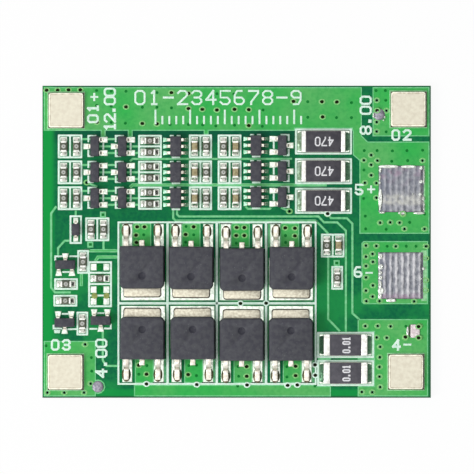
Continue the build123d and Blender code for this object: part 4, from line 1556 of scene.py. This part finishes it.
@dataclass
class SmallPackages(Assembly):
    """The small moulded packages and their bent leads."""

    draft: float = 0.07  # How far a body's top and bottom draw in
    body_edge: float = 0.05  # How far its edges are rounded
    lead_thick: float = 0.13
    lead_rise: float = 0.5  # The height of its middle where it leaves the body
    overlap: float = 0.08  # How far it starts inside the body
    # The stretches and folds of a lead whose foot is drowned in solder
    drowned_legs: tuple[Run | Bend, ...] = (
        Run(0.4), Bend(76, 0.07, 2), Run(0.34), Bend(-76, 0.07, 2), Run(0.1),
    )
    solder_start: float = 0.46  # Where that solder starts
    solder_spill: float = 0.22  # How far it runs on past the toe
    solder_share: float = 0.42  # Half its width, as a share of the lead's

    @staticmethod
    def bodies() -> dict[str, Box]:
        """Finds the small moulded bodies by node."""
        names = [f"transistor_body_{i}" for i in range(1, 13)] + [f"controller_body_{i}" for i in range(1, 7)]
        return {name: solids_of(name)[0] for name in names + ["diode_body"]}

    def build(self) -> None:
        """Moulds each body and bends each lead."""
        bodies = self.bodies()
        for name, box in bodies.items():
            mould = Mould()
            mould.moulding(box, box.centre.z, (self.draft, self.draft * 1.5), self.body_edge)
            finishes = self.paints.pick("small epoxy")
            mould.piece(name.replace("_body", "_case"), finishes, "package_epoxy", [name])
        mould = Mould()
        patterns: dict[tuple[float, float, int], Mesh] = {}
        for lead in solids_of("small_package_leads"):
            owner_name, owner = min(bodies.items(), key=lambda item: lead.distance(item[1]))
            turn = self.facing(lead, owner)
            along, across = (lead.size.y, lead.size.x) if turn in (Turn.UP, Turn.DOWN) else lead.size.xy
            # A six-lead chip's left feet take the mint tin, a painted reflection of the mask, and its right
            # feet painted shade
            foot = (1 if turn is Turn.LEFT else 2) if owner_name.startswith("controller") else 0
            key = (round(along, 2), round(across, 2), foot)
            if key not in patterns:
                patterns[key] = self.lead(*key)
            start = lead.centre + turn.matrix() @ Vector((0, -along / 2, 0))
            mould.stamp(patterns[key], spot(start.x, start.y, SEAT, turn))
        finishes = self.paints.pick("leadframe", "mint tin", "dark solder")
        mould.piece("small_leads", finishes, "leadframe", ["small_package_leads"])

    @staticmethod
    def facing(lead: Box, owner: Box) -> Turn:
        """Tells which way a lead points away from its body.

        Args:
            lead: The lead.
            owner: Its body.

        Returns:
            The way.
        """
        away = lead.centre - owner.centre
        reach = Vector((away.x / owner.size.x, away.y / owner.size.y))
        if abs(reach.x) > abs(reach.y):
            return Turn.RIGHT if reach.x > 0 else Turn.LEFT
        return Turn.UP if reach.y > 0 else Turn.DOWN

    def lead(self, along: float, across: float, foot: int) -> Mesh:
        """Bends one lead, from the body at Y zero to its toe.

        Args:
            along: How far it reaches.
            across: Its width.
            foot: The finish of the solder that drowns its foot, 0 where the foot is bare.

        Returns:
            The pattern, standing on its seat.
        """
        mould = Mould()
        bare_legs = (Run(0.16), Bend(62, 0.1, 2), Run(0.2), Bend(-62, 0.1, 2), Run(max(along - 0.38, 0.1)))
        legs = self.drowned_legs if foot else bare_legs
        mould.strip(across, self.lead_thick, (-self.overlap, self.lead_rise), legs)
        if foot:
            mould.dress = foot
            half = across * self.solder_share
            mould.block((-half, self.solder_start, -0.04), (half, along + self.solder_spill, 0.15), 0.05, 2)
        return mould.pattern()


@dataclass
class Chips(Assembly):
    """The small resistors and capacitors with their soldered ends, drawn upright round the origin."""

    half: Point = (0.39, 0.74)  # Half the width and half the length of a chip's own body
    foot: float = 0.03  # How far it stands above its seat
    glaze_half: Point = (0.375, 0.5)  # The same halves for the glaze on a resistor
    # The outline of the small light ring on a resistor
    ring: tuple[Point, ...] = ((0.07, 0.43), (0.09, 0.442), (0.29, 0.442), (0.32, 0.43))
    resistor_end: float = 0.45
    capacitor_end: float = 0.8
    end_half: float = 0.42
    end_reach: Point = (0.5, 0.8)  # Where an end starts and stops along Y
    end_edge: float = 0.06  # How far its edges are rounded
    solder_share: float = 0.6  # How high the solder climbs, as a share of the end's height
    solder_reach: float = 0.48  # How far it runs out
    painted_shade_half: float = 0.62  # Half the length of the painted shade beside a chip

    def resistor(self) -> Mesh:
        """Builds a chip resistor."""
        mould = self.chip(0.4, 0.02, 1, (-0.55, 0.58))
        mould.dress = 2
        x, y = self.glaze_half
        mould.block((-x, -y, 0.38), (x, y, 0.435), 0.02)
        ring = Mould()
        ring.dress = 3
        ring.turned(self.ring, 14, shut=True)
        mould.stamp(ring.pattern())
        return self.ends(mould, self.resistor_end)

    def capacitor(self) -> Mesh:
        """Builds a chip capacitor."""
        return self.ends(self.chip(0.77, 0.07, 3, (-0.56, 0.6)), self.capacitor_end)

    def chip(self, top: float, edge: float, steps: int, painted_shade: Point) -> Mould:
        """Builds a chip's own body and the painted shade beside it.

        Args:
            top: How high the body stands.
            edge: How far its edges are rounded.
            steps: In how many steps.
            painted_shade: Where the painted shade beside the chip starts and ends along X.

        Returns:
            The mould of the chip.
        """
        mould = Mould()
        mould.dress = 1
        x, y = self.half
        mould.block((-x, -y, self.foot), (x, y, top), edge, steps)
        # Painted shade beside the chip's body
        mould.dress = 5
        mould.block((painted_shade[0], -self.painted_shade_half, -0.03), (painted_shade[1], self.painted_shade_half, 0.02), 0.01, 1)
        return mould

    def ends(self, mould: Mould, height: float) -> Mesh:
        """Caps both ends and runs the solder down to the lands.

        Args:
            mould: The chip's own mould.
            height: The height of an end.

        Returns:
            The finished pattern.
        """
        cap = Mould()
        start, stop = self.end_reach
        cap.block((-self.end_half, start, 0.0), (self.end_half, stop, height), self.end_edge, 3)
        slope = Mould()
        slope.dress = 4
        slope.wedge(self.end_half, self.solder_reach, height * self.solder_share, 0.04)
        cap.stamp(slope.pattern(), spot(0, stop - 0.02))
        pattern = cap.pattern()
        for turn in (Turn.UP, Turn.DOWN):
            mould.stamp(pattern, turn.matrix())
        return mould.pattern()

    def build(self) -> None:
        """Sets every chip down where its solid is."""
        kinds = (
            ("chip_resistor", self.resistor(), "ceramic", "chip_cover"),
            ("chip_capacitor", self.capacitor(), "capacitor", "capacitor_ceramic"),
        )
        for kind, pattern, body, slot in kinds:
            mould = Mould()
            for box in solids_of(f"{kind}_bodies"):
                turn = Turn.UP if box.upright else Turn.LEFT
                mould.stamp(pattern, spot(box.centre.x, box.centre.y, SEAT, turn))
            finishes = self.paints.pick("terminal", body, "glaze", "chip mark", "fillet", "beside_shade")
            mould.piece(f"{kind}s", finishes, slot, [f"{kind}_bodies", f"{kind}_terminals"])


@dataclass(frozen=True)
class LargeKind:
    """What sets one kind of large resistor apart."""

    name: str  # The start of its nodes' names
    count: int
    cover: str  # The finish of its cover
    left_solder: int  # The place of the finish of the solder at its left end
    words: str  # The value on its cover
    turn: Turn  # Which way the value reads
    shift: float  # How far it sits from the middle
    height: float  # How tall its figures are
    pen: float  # How wide their pen is
    pitch: float  # From one figure to the next, as a share of the height
    wide: float  # How wide a figure is drawn


@dataclass
class LargeChips(Assembly):
    """The large resistors: three that bleed the cells and two that sense the current."""

    cover_thick: float = 0.06  # How far the cover stands above the ceramic
    cover_margin: float = 0.05  # How far it stays inside the long sides
    overlap: float = 0.02  # How far neighbouring parts run into each other
    figures_thick: float = 0.02
    solder_reach: float = 0.6  # How far the solder runs out at an end
    solder_rise: Point = (0.3, 0.12)  # How high it climbs at the left end and at the right
    kinds: tuple[LargeKind, ...] = (
        LargeKind("bleed", 3, "cover", 4, "470", Turn.DOWN, 0.1, 1.38, 0.2, 0.68, 0.8),
        LargeKind("shunt", 2, "shunt cover", 5, "0.01", Turn.LEFT, 0.12, 1.2, 0.22, 0.5, 0.55),
    )

    def build(self) -> None:
        """Builds each from its two nodes."""
        for kind in self.kinds:
            for number in range(1, kind.count + 1):
                self.chip(kind, number)

    def chip(self, kind: LargeKind, number: int) -> None:
        """Builds one large chip.

        Args:
            kind: Its kind.
            number: Its number among its kind.
        """
        nodes = [f"{kind.name}_resistor_{part}_{number}" for part in ("body", "terminals")]
        body = solids_of(nodes[0])[0]
        left, right = sorted(solids_of(nodes[1]), key=lambda box: box.low.x)
        mould = Mould()
        mould.dress = 1
        top = body.high.z - self.cover_thick
        mould.block(body.low, (body.high.x, body.high.y, top), 0.04)
        mould.dress = 2
        mould.block(
            (left.high.x - self.overlap, body.low.y + self.cover_margin, top - self.overlap),
            (right.low.x + self.overlap, body.high.y - self.cover_margin, body.high.z + 0.005),
            0.06,
            3,
        )
        figures = Mould()
        figures.dress = 3
        figures.figures(kind.words, kind.height, kind.pen, self.figures_thick, kind.pitch, kind.wide)
        level = body.high.z + self.figures_thick / 2
        mould.stamp(figures.pattern(), spot(body.centre.x + kind.shift, body.centre.y, level, kind.turn))
        mould.dress = 0
        for end in (left, right):
            mould.block(end.low, end.high, 0.08, 3)
        # The solder at the right end, and at the left end of a shunt, takes the dark solder finish, painted
        # shade
        sides = (
            (left.low.x + self.overlap, Turn.LEFT, kind.left_solder),
            (right.high.x - self.overlap, Turn.RIGHT, 5),
        )
        for (x, way, dress), height in zip(sides, self.solder_rise):
            slope = Mould()
            slope.dress = dress
            slope.wedge(body.size.y / 2 - 0.2, self.solder_reach, height, 0.02, 0.1)
            mould.stamp(slope.pattern(), spot(x, body.centre.y, SEAT, way))
        labels = ("terminal", "ceramic", kind.cover, "figures", "grey solder", "dark solder")
        name = f"{kind.name}_resistor_{number}"
        mould.piece(name, self.paints.pick(*labels), "large_resistor_cover", nodes)


@dataclass
class BatteryTabs(Assembly):
    """The four plated tabs that the cell strips are welded to."""

    corner: float = 0.35
    rim: float = 0.07  # How far the level edges are rounded
    # The width and the place of the finish of each ring on top, from outside inwards: the rim's painted
    # highlight, then the pressed line's groove shade painted as a darker band
    rings: tuple[tuple[float, int], ...] = ((0.13, 1), (0.08, 2))
    bed_low: Point = (0.06, 0.08)  # How far the dark bed, a painted shadow round the tab, reaches out at the left and below
    bed_high: Point = (0.16, 0.06)  # The same at the right and above

    def build(self) -> None:
        """Rounds each tab and lays it on a thin dark bed that paints its shadow, wider at the right."""
        for name in ("upper_left", "upper_right", "lower_left", "lower_right"):
            node = f"battery_tab_{name}"
            box = solids_of(node)[0]
            mould = Mould()
            mould.plate(box.low, box.high, self.corner, self.rim, 3)
            self.line(mould)
            mould.dress = 3
            mould.block(
                (box.low.x - self.bed_low[0], box.low.y - self.bed_low[1], COPPER_TOP),
                (box.high.x + self.bed_high[0], box.high.y + self.bed_high[1], SEAT + 0.015),
            )
            finishes = self.paints.pick("tab", "tab rim", "tab line", "tab_outline")
            mould.piece(f"cell_tab_{name}", finishes, "tab_plating", [node])

    def line(self, mould: Mould) -> None:
        """Paints the tab's rim and sides with a highlight, and inside it on the top the pressed line as a
        darker band.
        """
        for face in mould.mesh.faces:
            face.material_index = 1
        for width, dress in self.rings:
            top = max(mould.mesh.faces, key=lambda face: face.calc_area() * face.normal.z)
            top.material_index = 0
            ring = bmesh.ops.inset_individual(mould.mesh, faces=[top], thickness=width, use_even_offset=True)
            for face in ring["faces"]:
                face.material_index = dress


@dataclass
class SolderPours(Assembly):
    """The two large output pads, tinned by hand in uneven ribs, and the three sense points."""

    pitch: float = 0.845  # From rib to rib
    first: float = 22.24  # Where the first rib stands
    cells_x: int = 90  # In how many cells a pad is drawn along X
    cells_y: int = 84  # The same along Y
    level: float = 0.1  # How thick the solder lies between the ribs
    upper_swell: Point = (0.026, 0.045)  # How high the ribs and the lumps stand on the upper pad
    lower_swell: Point = (0.036, 0.034)  # The same on the lower pad
    # Over what width the solder falls off at the right rim, and at the others
    rim_fall: Point = (0.85, 0.24)
    dome_rise: float = 0.5  # How far the round sense points are pressed flat
    # The middle of each bead along the pads' rims, and how far it reaches along X and Y
    beads: tuple[Quad, ...] = (
        (26.62, 10.65, 0.28, 0.3), (26.6, 8.67, 0.3, 0.28), (26.48, 6.84, 0.28, 0.28),
        (26.95, 6.22, 0.18, 0.3), (25.4, 6.9, 0.13, 0.13), (20.74, 6.2, 0.36, 1.45),
        (20.7, 5.0, 0.2, 0.5), (20.72, 10.35, 0.24, 0.4), (20.66, 9.2, 0.16, 0.42),
        (20.64, 8.5, 0.22, 0.22), (21.9, 10.84, 1.5, 0.27), (24.8, 10.82, 1.15, 0.25),
        (23.85, 4.12, 0.6, 0.26), (26.3, 4.12, 0.85, 0.2), (21.0, 4.2, 0.45, 0.17), (27.0, 9.4, 0.1, 1.2),
        (27.0, 5.1, 0.1, 0.7), (19.75, 18.2, 0.17, 0.36), (21.18, 17.52, 0.16, 0.14),
        (21.36, 17.95, 0.12, 0.2), (20.4, 18.66, 0.26, 0.2), (24.66, -12.95, 0.22, 0.75),
        (20.78, -2.12, 0.4, 0.4), (20.8, -3.62, 0.42, 0.4), (20.75, -4.46, 0.34, 0.3),
        (20.78, -5.18, 0.36, 0.34), (20.72, -6.2, 0.32, 0.6), (20.85, -7.05, 0.5, 0.48),
        (20.7, -7.8, 0.36, 0.45), (22.3, -8.46, 0.75, 0.3), (26.95, -3.88, 0.2, 0.26),
        (26.6, -5.35, 0.16, 0.12),
    )
    # The bare strips beside the pads, each as its least and greatest X and Y
    skirts: tuple[Quad, ...] = ((26.6, -8.55, 27.42, -1.25), (26.6, 4.3, 27.2, 10.9))
    square_point: Quad = (25.06, -13.85, 26.44, -11.92)  # The squarish sense point, the same way
    square_shade: Quad = (24.86, -13.7, 25.1, -11.95)  # The painted shade beside it

    def ribbed(self, box: Box, seed: float) -> Mould:
        """Shapes one ribbed pad.

        Args:
            box: The pad's box.
            seed: Where its unevenness is read from.

        Returns:
            The mould of the pad.
        """
        mould = Mould()
        place = spot(box.centre.x, box.centre.y) @ Matrix.Diagonal((box.size.x, box.size.y, 1, 1))
        verts = bmesh.ops.create_grid(
            mould.mesh, x_segments=self.cells_x, y_segments=self.cells_y, size=0.5, matrix=place
        )["verts"]
        for vert in verts:
            vert.co.z = self.height(vert.co, box, seed)
        rim = [e for e in mould.mesh.edges if e.is_boundary]
        made = bmesh.ops.extrude_edge_only(mould.mesh, edges=rim)["geom"]
        for vert in (item for item in made if isinstance(item, BMVert)):
            vert.co.z = box.low.z - 0.02
        bmesh.ops.holes_fill(mould.mesh, edges=[e for e in mould.mesh.edges if e.is_boundary], sides=0)
        bmesh.ops.recalc_face_normals(mould.mesh, faces=mould.mesh.faces)
        return mould

    @staticmethod
    def uneven(place: Vector, scale: Point, seed: float) -> float:
        """Reads an unevenness round zero, with a scale along X and along Y."""
        return noise.noise(Vector((place.x * scale[0], place.y * scale[1], seed)))

    def height(self, place: Vector, box: Box, seed: float) -> float:
        """Gives the height of the solder at a place.

        Args:
            place: The place on the board.
            box: The pad's box.
            seed: Where its unevenness is read from.

        Returns:
            The height above the board's underside.
        """
        sway = self.uneven(place, (0.25, 0.6), seed) * 0.1
        rib = 0.5 + 0.5 * math.cos((place.x + sway - self.first) / self.pitch * 2 * math.pi)
        lump = self.uneven(place, (1.3, 1.1), seed + 7.0)
        fine = self.uneven(place, (4.5, 4.5), seed + 3.0)
        inward = min(place.x - box.low.x, place.y - box.low.y, box.high.y - place.y)
        right, other = self.rim_fall
        fall = min(max(min(inward / other, (box.high.x - place.x) / right), 0.0), 1.0)
        ribs, lumps = self.upper_swell if place.y > 0 else self.lower_swell
        level = self.level + ribs * rib + lumps * lump + 0.01 * fine
        return box.low.z + level * math.sin(fall * math.pi / 2)

    def build(self) -> None:
        """Makes the pads, the beads along them and the sense points."""
        for sign, seed in (("positive", 1.0), ("negative", 5.0)):
            node = f"output_pad_{sign}"
            mould = self.ribbed(solids_of(node)[0], seed)
            mould.piece(f"tinned_pad_{sign}", self.paints.pick("ridge"), "solder_ridges", [node], sharp=70)
        self.rims()
        self.points()

    def rims(self) -> None:
        """Makes the beads along the pads' rims and the bare strips beside them."""
        drop = Mould()
        outline = (
            (0.0, 0.05), (0.16, 0.06), (0.45, 0.13), (0.75, 0.1), (0.95, 0.03), (1.0, -0.1), (0.0, -0.1),
        )
        drop.turned(outline)
        pattern = drop.pattern()
        mould = Mould()
        for x, y, reach_x, reach_y in self.beads:
            mould.stamp(pattern, spot(x, y, COPPER_TOP + 0.1) @ Matrix.Diagonal((reach_x, reach_y, 1.0, 1.0)))
        mould.dress = 1
        for low_x, low_y, high_x, high_y in self.skirts:
            mould.block((low_x, low_y, COPPER_TOP - 0.03), (high_x, high_y, COPPER_TOP + 0.012), 0.01, 1)
        mould.piece("solder_beads", self.paints.pick("bead", "tab land"), "solder_ridges")

    def points(self) -> None:
        """Makes the two round sense points and the squarish one."""
        dome = Mould()
        outline = (
            (0.0, 0.34), (0.3, 0.32), (0.55, 0.25), (0.72, 0.15), (0.82, 0.05), (0.85, -0.02), (0.0, -0.02),
        )
        dome.turned(outline, 28)
        pattern = dome.pattern()
        mould = Mould()
        for box in solids_of("sense_solder_points"):
            if box.size.x > 1.6:
                flat = Matrix.Diagonal((1, 1, self.dome_rise, 1))
                mould.stamp(pattern, spot(box.centre.x, box.centre.y, box.low.z) @ flat)
                continue
            blocks = ((self.square_point, 1, 0.12, 0.1, 3), (self.square_shade, 2, 0.05, 0.03, 1))
            for (low_x, low_y, high_x, high_y), dress, rise, edge, steps in blocks:
                mould.dress = dress
                low, high = (low_x, low_y, box.low.z - 0.02), (high_x, high_y, box.low.z + rise)
                mould.block(low, high, edge, steps)
        finishes = self.paints.pick("poured", "soft solder", "beside_shade")
        mould.piece("sense_points", finishes, "solder_ridges", ["sense_solder_points"])


@dataclass
class Legend(Assembly):
    """The figures and signs that are printed on the board."""

    base: float = 1.17  # Where the ink starts, inside the mask
    top: float = 1.232  # How high it lies
    line: float = 0.26
    divider: float = 0.36
    rule_start: float = -11.7  # The X of the rule's first tick
    rule_foot: float = 16.95  # The Y where its ticks start
    tick_half: float = 0.14
    # The words, their place, height, pitch, pen and turn
    labels: tuple[tuple[str, float, float, float, float, float, Turn], ...] = (
        ("01-2345678-9", -2.68, 20.8, 2.2, 0.93, 0.29, Turn.UP),
        ("01", -20.72, 18.5, 1.75, 0.86, 0.35, Turn.LEFT),
        ("+", -20.53, 20.88, 1.6, 1.0, 0.27, Turn.LEFT),
        ("12.00", -18.28, 19.1, 1.8, 0.69, 0.33, Turn.LEFT),
        ("02", 23.78, 15.4, 1.7, 0.97, 0.34, Turn.UP),
        ("8.00", 18.62, 18.25, 1.8, 0.8, 0.33, Turn.LEFT),
        ("03", -25.35, -14.87, 1.7, 0.95, 0.34, Turn.UP),
        ("4.00", -19.52, -16.8, 1.8, 0.8, 0.33, Turn.LEFT),
        ("4", 23.05, -14.9, 1.7, 1.0, 0.34, Turn.UP),
        ("-", 24.62, -14.83, 1.6, 1.0, 0.27, Turn.UP),
        ("5", 17.67, 7.54, 1.7, 1.0, 0.34, Turn.UP),
        ("+", 19.4, 7.56, 1.6, 1.0, 0.27, Turn.UP),
        ("6", 17.52, -4.35, 1.7, 1.0, 0.34, Turn.UP),
        ("-", 19.1, -4.47, 1.45, 1.0, 0.26, Turn.UP),
    )
    dividers: tuple[Stroke, ...] = (  # The two ends of each line between the cell circuits
        ((-9.96, -20.45), (-9.96, 2.7)), ((-2.86, -20.45), (-2.86, 2.7)), ((4.24, -20.45), (4.24, 2.7)),
        ((-16.8, -8.87), (11.1, -8.87)),
    )
    # The strokes round a small transistor, mirrored on the right half
    transistor_strokes: tuple[Stroke, ...] = (
        ((-0.93, 1.52), (-0.93, 0.75)), ((-0.93, 1.52), (0.1, 1.52)), ((-0.93, -1.4), (-0.93, -0.6)),
        ((-0.93, -1.4), (-0.3, -1.4)), ((1.22, -0.35), (1.22, 0.45)),
    )
    controller_strokes: tuple[Stroke, ...] = (  # The strokes round a six-lead chip
        ((-0.72, 1.52), (-0.42, 1.52)), ((0.26, 1.52), (0.56, 1.52)), ((-0.45, -1.6), (0.5, -1.6)),
    )
    left_group: tuple[Stroke, ...] = (  # The strokes at the lower left
        ((-26.15, -2.1), (-26.15, -2.6)), ((-26.15, -2.1), (-25.2, -2.1)), ((-24.0, -2.1), (-23.1, -2.1)),
        ((-25.0, -4.35), (-24.2, -4.35)), ((-25.1, -10.4), (-24.35, -10.4)),
        ((-26.4, -12.5), (-25.3, -12.5)), ((-26.4, -12.5), (-26.4, -12.1)),
        ((-24.3, -12.6), (-23.2, -12.6)), ((-20.0, -10.3), (-19.2, -10.3)),
        ((-21.1, -12.55), (-20.2, -12.55)), ((-19.0, -12.5), (-18.15, -12.5)),
        ((-18.15, -12.5), (-18.15, -11.95)), ((-26.2, -12.85), (-25.55, -12.85)),
        ((-26.15, -13.05), (-25.6, -13.05)),
    )

    def build(self) -> None:
        """Prints the figures and the rule, and then the strokes."""
        self.figures()
        self.brackets()

    def figures(self) -> None:
        """Prints a plain number and a rule along the top, and plain values beside the tabs."""
        mould = Mould()
        thick = self.top - self.base
        middle = (self.top + self.base) / 2
        for words, x, y, height, pitch, pen, turn in self.labels:
            figures = Mould()
            figures.figures(words, height, pen, thick, pitch)
            mould.stamp(figures.pattern(), spot(x, y, middle, turn))
        for tick in range(22):
            x, reach = self.rule_start + tick, (2.1 if tick % 5 == 0 else 1.2)
            low = (x - self.tick_half, self.rule_foot, self.base)
            mould.block(low, (x + self.tick_half, self.rule_foot + reach, self.top), 0.04, 1)
        mould.piece("printed_figures", self.paints.pick("ink"), "legend")

    def brackets(self) -> None:
        """Prints the strokes and the dividing lines, with crossing ones a little apart in height."""
        mould = Mould()
        sized = [(stroke, self.line) for stroke in self.strokes()]
        sized += [(stroke, self.divider) for stroke in self.dividers]
        for number, (((x0, y0), (x1, y1)), width) in enumerate(sized):
            pad = width / 2
            level = self.top + (0.006 if width > 0.3 else -0.006) - number % 2 * 0.003
            low = (min(x0, x1) - pad, min(y0, y1) - pad, self.base)
            mould.block(low, (max(x0, x1) + pad, max(y0, y1) + pad, level), 0.03, 1)
        mould.piece("printed_brackets", self.paints.pick("ink"), "legend")

    def strokes(self) -> list[Stroke]:
        """Lists the short printed strokes beside the small packages.

        Returns:
            The two ends of each stroke.
        """
        found: list[Stroke] = []
        for number in range(1, 10):
            centre = solids_of(f"transistor_body_{number}")[0].centre
            found += self.around(centre, self.transistor_strokes, -1 if centre.x > 0 else 1)
        for number in range(1, 7):
            centre = solids_of(f"controller_body_{number}")[0].centre
            found += self.around(centre, self.controller_strokes, 1)
        return found + list(self.left_group)

    @staticmethod
    def around(centre: Vector, strokes: Iterable[Stroke], way: int) -> list[Stroke]:
        """Moves some strokes to a centre, mirrored where the way is -1."""
        return [tuple((centre.x + x * way, centre.y + y) for x, y in ends) for ends in strokes]


# The studio


@dataclass
class Studio:
    """A pale floor, soft lamps and a camera straight above the board, in metres and watts."""

    eye: float = 0.8  # How high the camera stands above the board
    view_width: float = 0.06835  # The width that the photograph shows at the board's top
    aim: Point = (0.05, 0.685)  # The middle of the picture, in millimetres
    sensor: float = 36.0
    floor_drop: float = 0.02  # How far the floor lies below the board, in millimetres
    floor_glow: float = 0.93  # The share of plain white that the camera sees of the floor
    key_power: float = 1.55
    top_power: float = 0.68
    fill_level: float = 0.6  # The mean brightness of the sky
    fill_slant: float = 0.4  # How much brighter it is at the left than in the middle

    def build(self) -> None:
        """Sets the studio up."""
        self.camera()
        self.floor()
        self.sky()
        self.card("right card", (0.27, 0.0, 0.3), (0.004, 0.6, 0.62))
        self.lamp("top softbox", (0.0, 0.0, 0.6), 0.5, self.top_power)
        self.lamp("left softbox", (-0.42, -0.22, 0.42), 0.22, self.key_power)
        bpy.context.scene.view_settings.view_transform = "Standard"

    def camera(self) -> None:
        """Hangs the camera straight above the board."""
        lens = bpy.data.cameras.new("camera")
        lens.sensor_width = self.sensor
        lens.lens = self.sensor * self.eye / self.view_width
        lens.clip_start, lens.clip_end = 0.01, 20.0
        holder = bpy.data.objects.new("camera", lens)
        holder.location = (self.aim[0] * MM, self.aim[1] * MM, self.eye + COPPER_TOP * MM)
        bpy.context.collection.objects.link(holder)
        bpy.context.scene.camera = holder

    @staticmethod
    def stand(name: str, sheet: BMesh, material: Material) -> Object:
        """Stands a piece of the studio in the scene.

        Args:
            name: Its name.
            sheet: Its mesh, in metres.
            material: Its finish.

        Returns:
            The object.
        """
        made = bpy.data.meshes.new(name)
        sheet.to_mesh(made)
        sheet.free()
        made.materials.append(material)
        thing = bpy.data.objects.new(name.replace(" ", "_"), made)
        bpy.context.collection.objects.link(thing)
        return thing

    @staticmethod
    def matt(name: str, colour: Rgb) -> tuple[Material, Node]:
        """Paints a matt surface and returns the material and its shader."""
        material, shader = blank_material(name)
        shader.inputs["Base Color"].default_value = linear(colour)
        shader.inputs["Roughness"].default_value = 0.9
        return material, shader

    def floor(self) -> None:
        """Lays the pale floor just under the board."""
        sheet = bmesh.new()
        bmesh.ops.create_grid(sheet, x_segments=1, y_segments=1, size=3.0)
        bmesh.ops.translate(sheet, verts=sheet.verts, vec=(0, 0, -self.floor_drop * MM))
        self.stand("floor", sheet, self.floor_paint())

    def floor_paint(self) -> Material:
        """Paints the floor white to the camera, with a share of its shadows."""
        material, shader = self.matt("studio floor", (250, 250, 250))
        shader.inputs["Specular IOR Level"].default_value = 0.0
        bench = Bench(material.node_tree)
        glow = bench.node("ShaderNodeEmission", {"Color": (1, 1, 1, 1), "Strength": 1.0})
        share = bench.times(bench.seen(), self.floor_glow)
        mixed = bench.node("ShaderNodeMixShader", {0: share, 1: shader.outputs[0], 2: glow.outputs[0]})
        bench.feed(material.node_tree.nodes["Material Output"], {"Surface": mixed.outputs[0]})
        return material

    def card(self, name: str, centre: Sequence[float], sides: Sequence[float]) -> None:
        """Stands a dark card beside the board, so that bare metal has something dark to mirror.

        Args:
            name: The card's name.
            centre: Its middle.
            sides: Its sides.
        """
        sheet = bmesh.new()
        place = Matrix.Translation(centre) @ Matrix.Diagonal((*sides, 1.0))
        bmesh.ops.create_cube(sheet, size=1.0, matrix=place)
        self.stand(name, sheet, self.matt(name, (40, 44, 42))[0]).visible_camera = False

    def sky(self) -> None:
        """Surrounds the studio with a pale light that is brighter at the left, and white to the camera."""
        world = bpy.data.worlds.new("studio")
        world.use_nodes = True
        bpy.context.scene.world = world
        bench = Bench(world.node_tree)
        way = bench.node("ShaderNodeTexCoord").outputs["Generated"]
        axes = bench.node("ShaderNodeSeparateXYZ", {"Vector": way}).outputs
        slant = bench.math("MULTIPLY_ADD", axes["X"], -self.fill_slant, self.fill_level)
        slant = bench.math("MULTIPLY_ADD", axes["Y"], -self.fill_slant * 0.4, slant)
        level = bench.math("MAXIMUM", slant, bench.seen())
        bench.feed(world.node_tree.nodes["Background"], {"Color": (1, 1, 1, 1), "Strength": level})

    @staticmethod
    def lamp(name: str, place: Sequence[float], size: float, power: float) -> None:
        """Hangs one softbox, turned to the board.

        Args:
            name: The lamp's name.
            place: Where it hangs, in metres.
            size: Its side, in metres.
            power: Its power in watts.
        """
        light = bpy.data.lights.new(name, "AREA")
        light.shape = "SQUARE"
        light.size = size
        light.energy = power
        holder = bpy.data.objects.new(name, light)
        holder.location = place
        holder.rotation_euler = Vector(place).to_track_quat("Z", "Y").to_euler()
        holder.visible_camera = False
        bpy.context.collection.objects.link(holder)


def main() -> None:
    """Builds the studio and the board's pieces in order."""
    logging.basicConfig(level=logging.INFO, format="%(message)s")
    Studio().build()
    paints = Paints()
    kinds = (
        BareBoard, CopperBorders, PlatedHoles, TinnedLands, PowerTransistor, SmallPackages, Chips, LargeChips,
        BatteryTabs, SolderPours, Legend,
    )
    for kind in kinds:
        kind(paints).build()


if __name__ == "__main__":
    main()
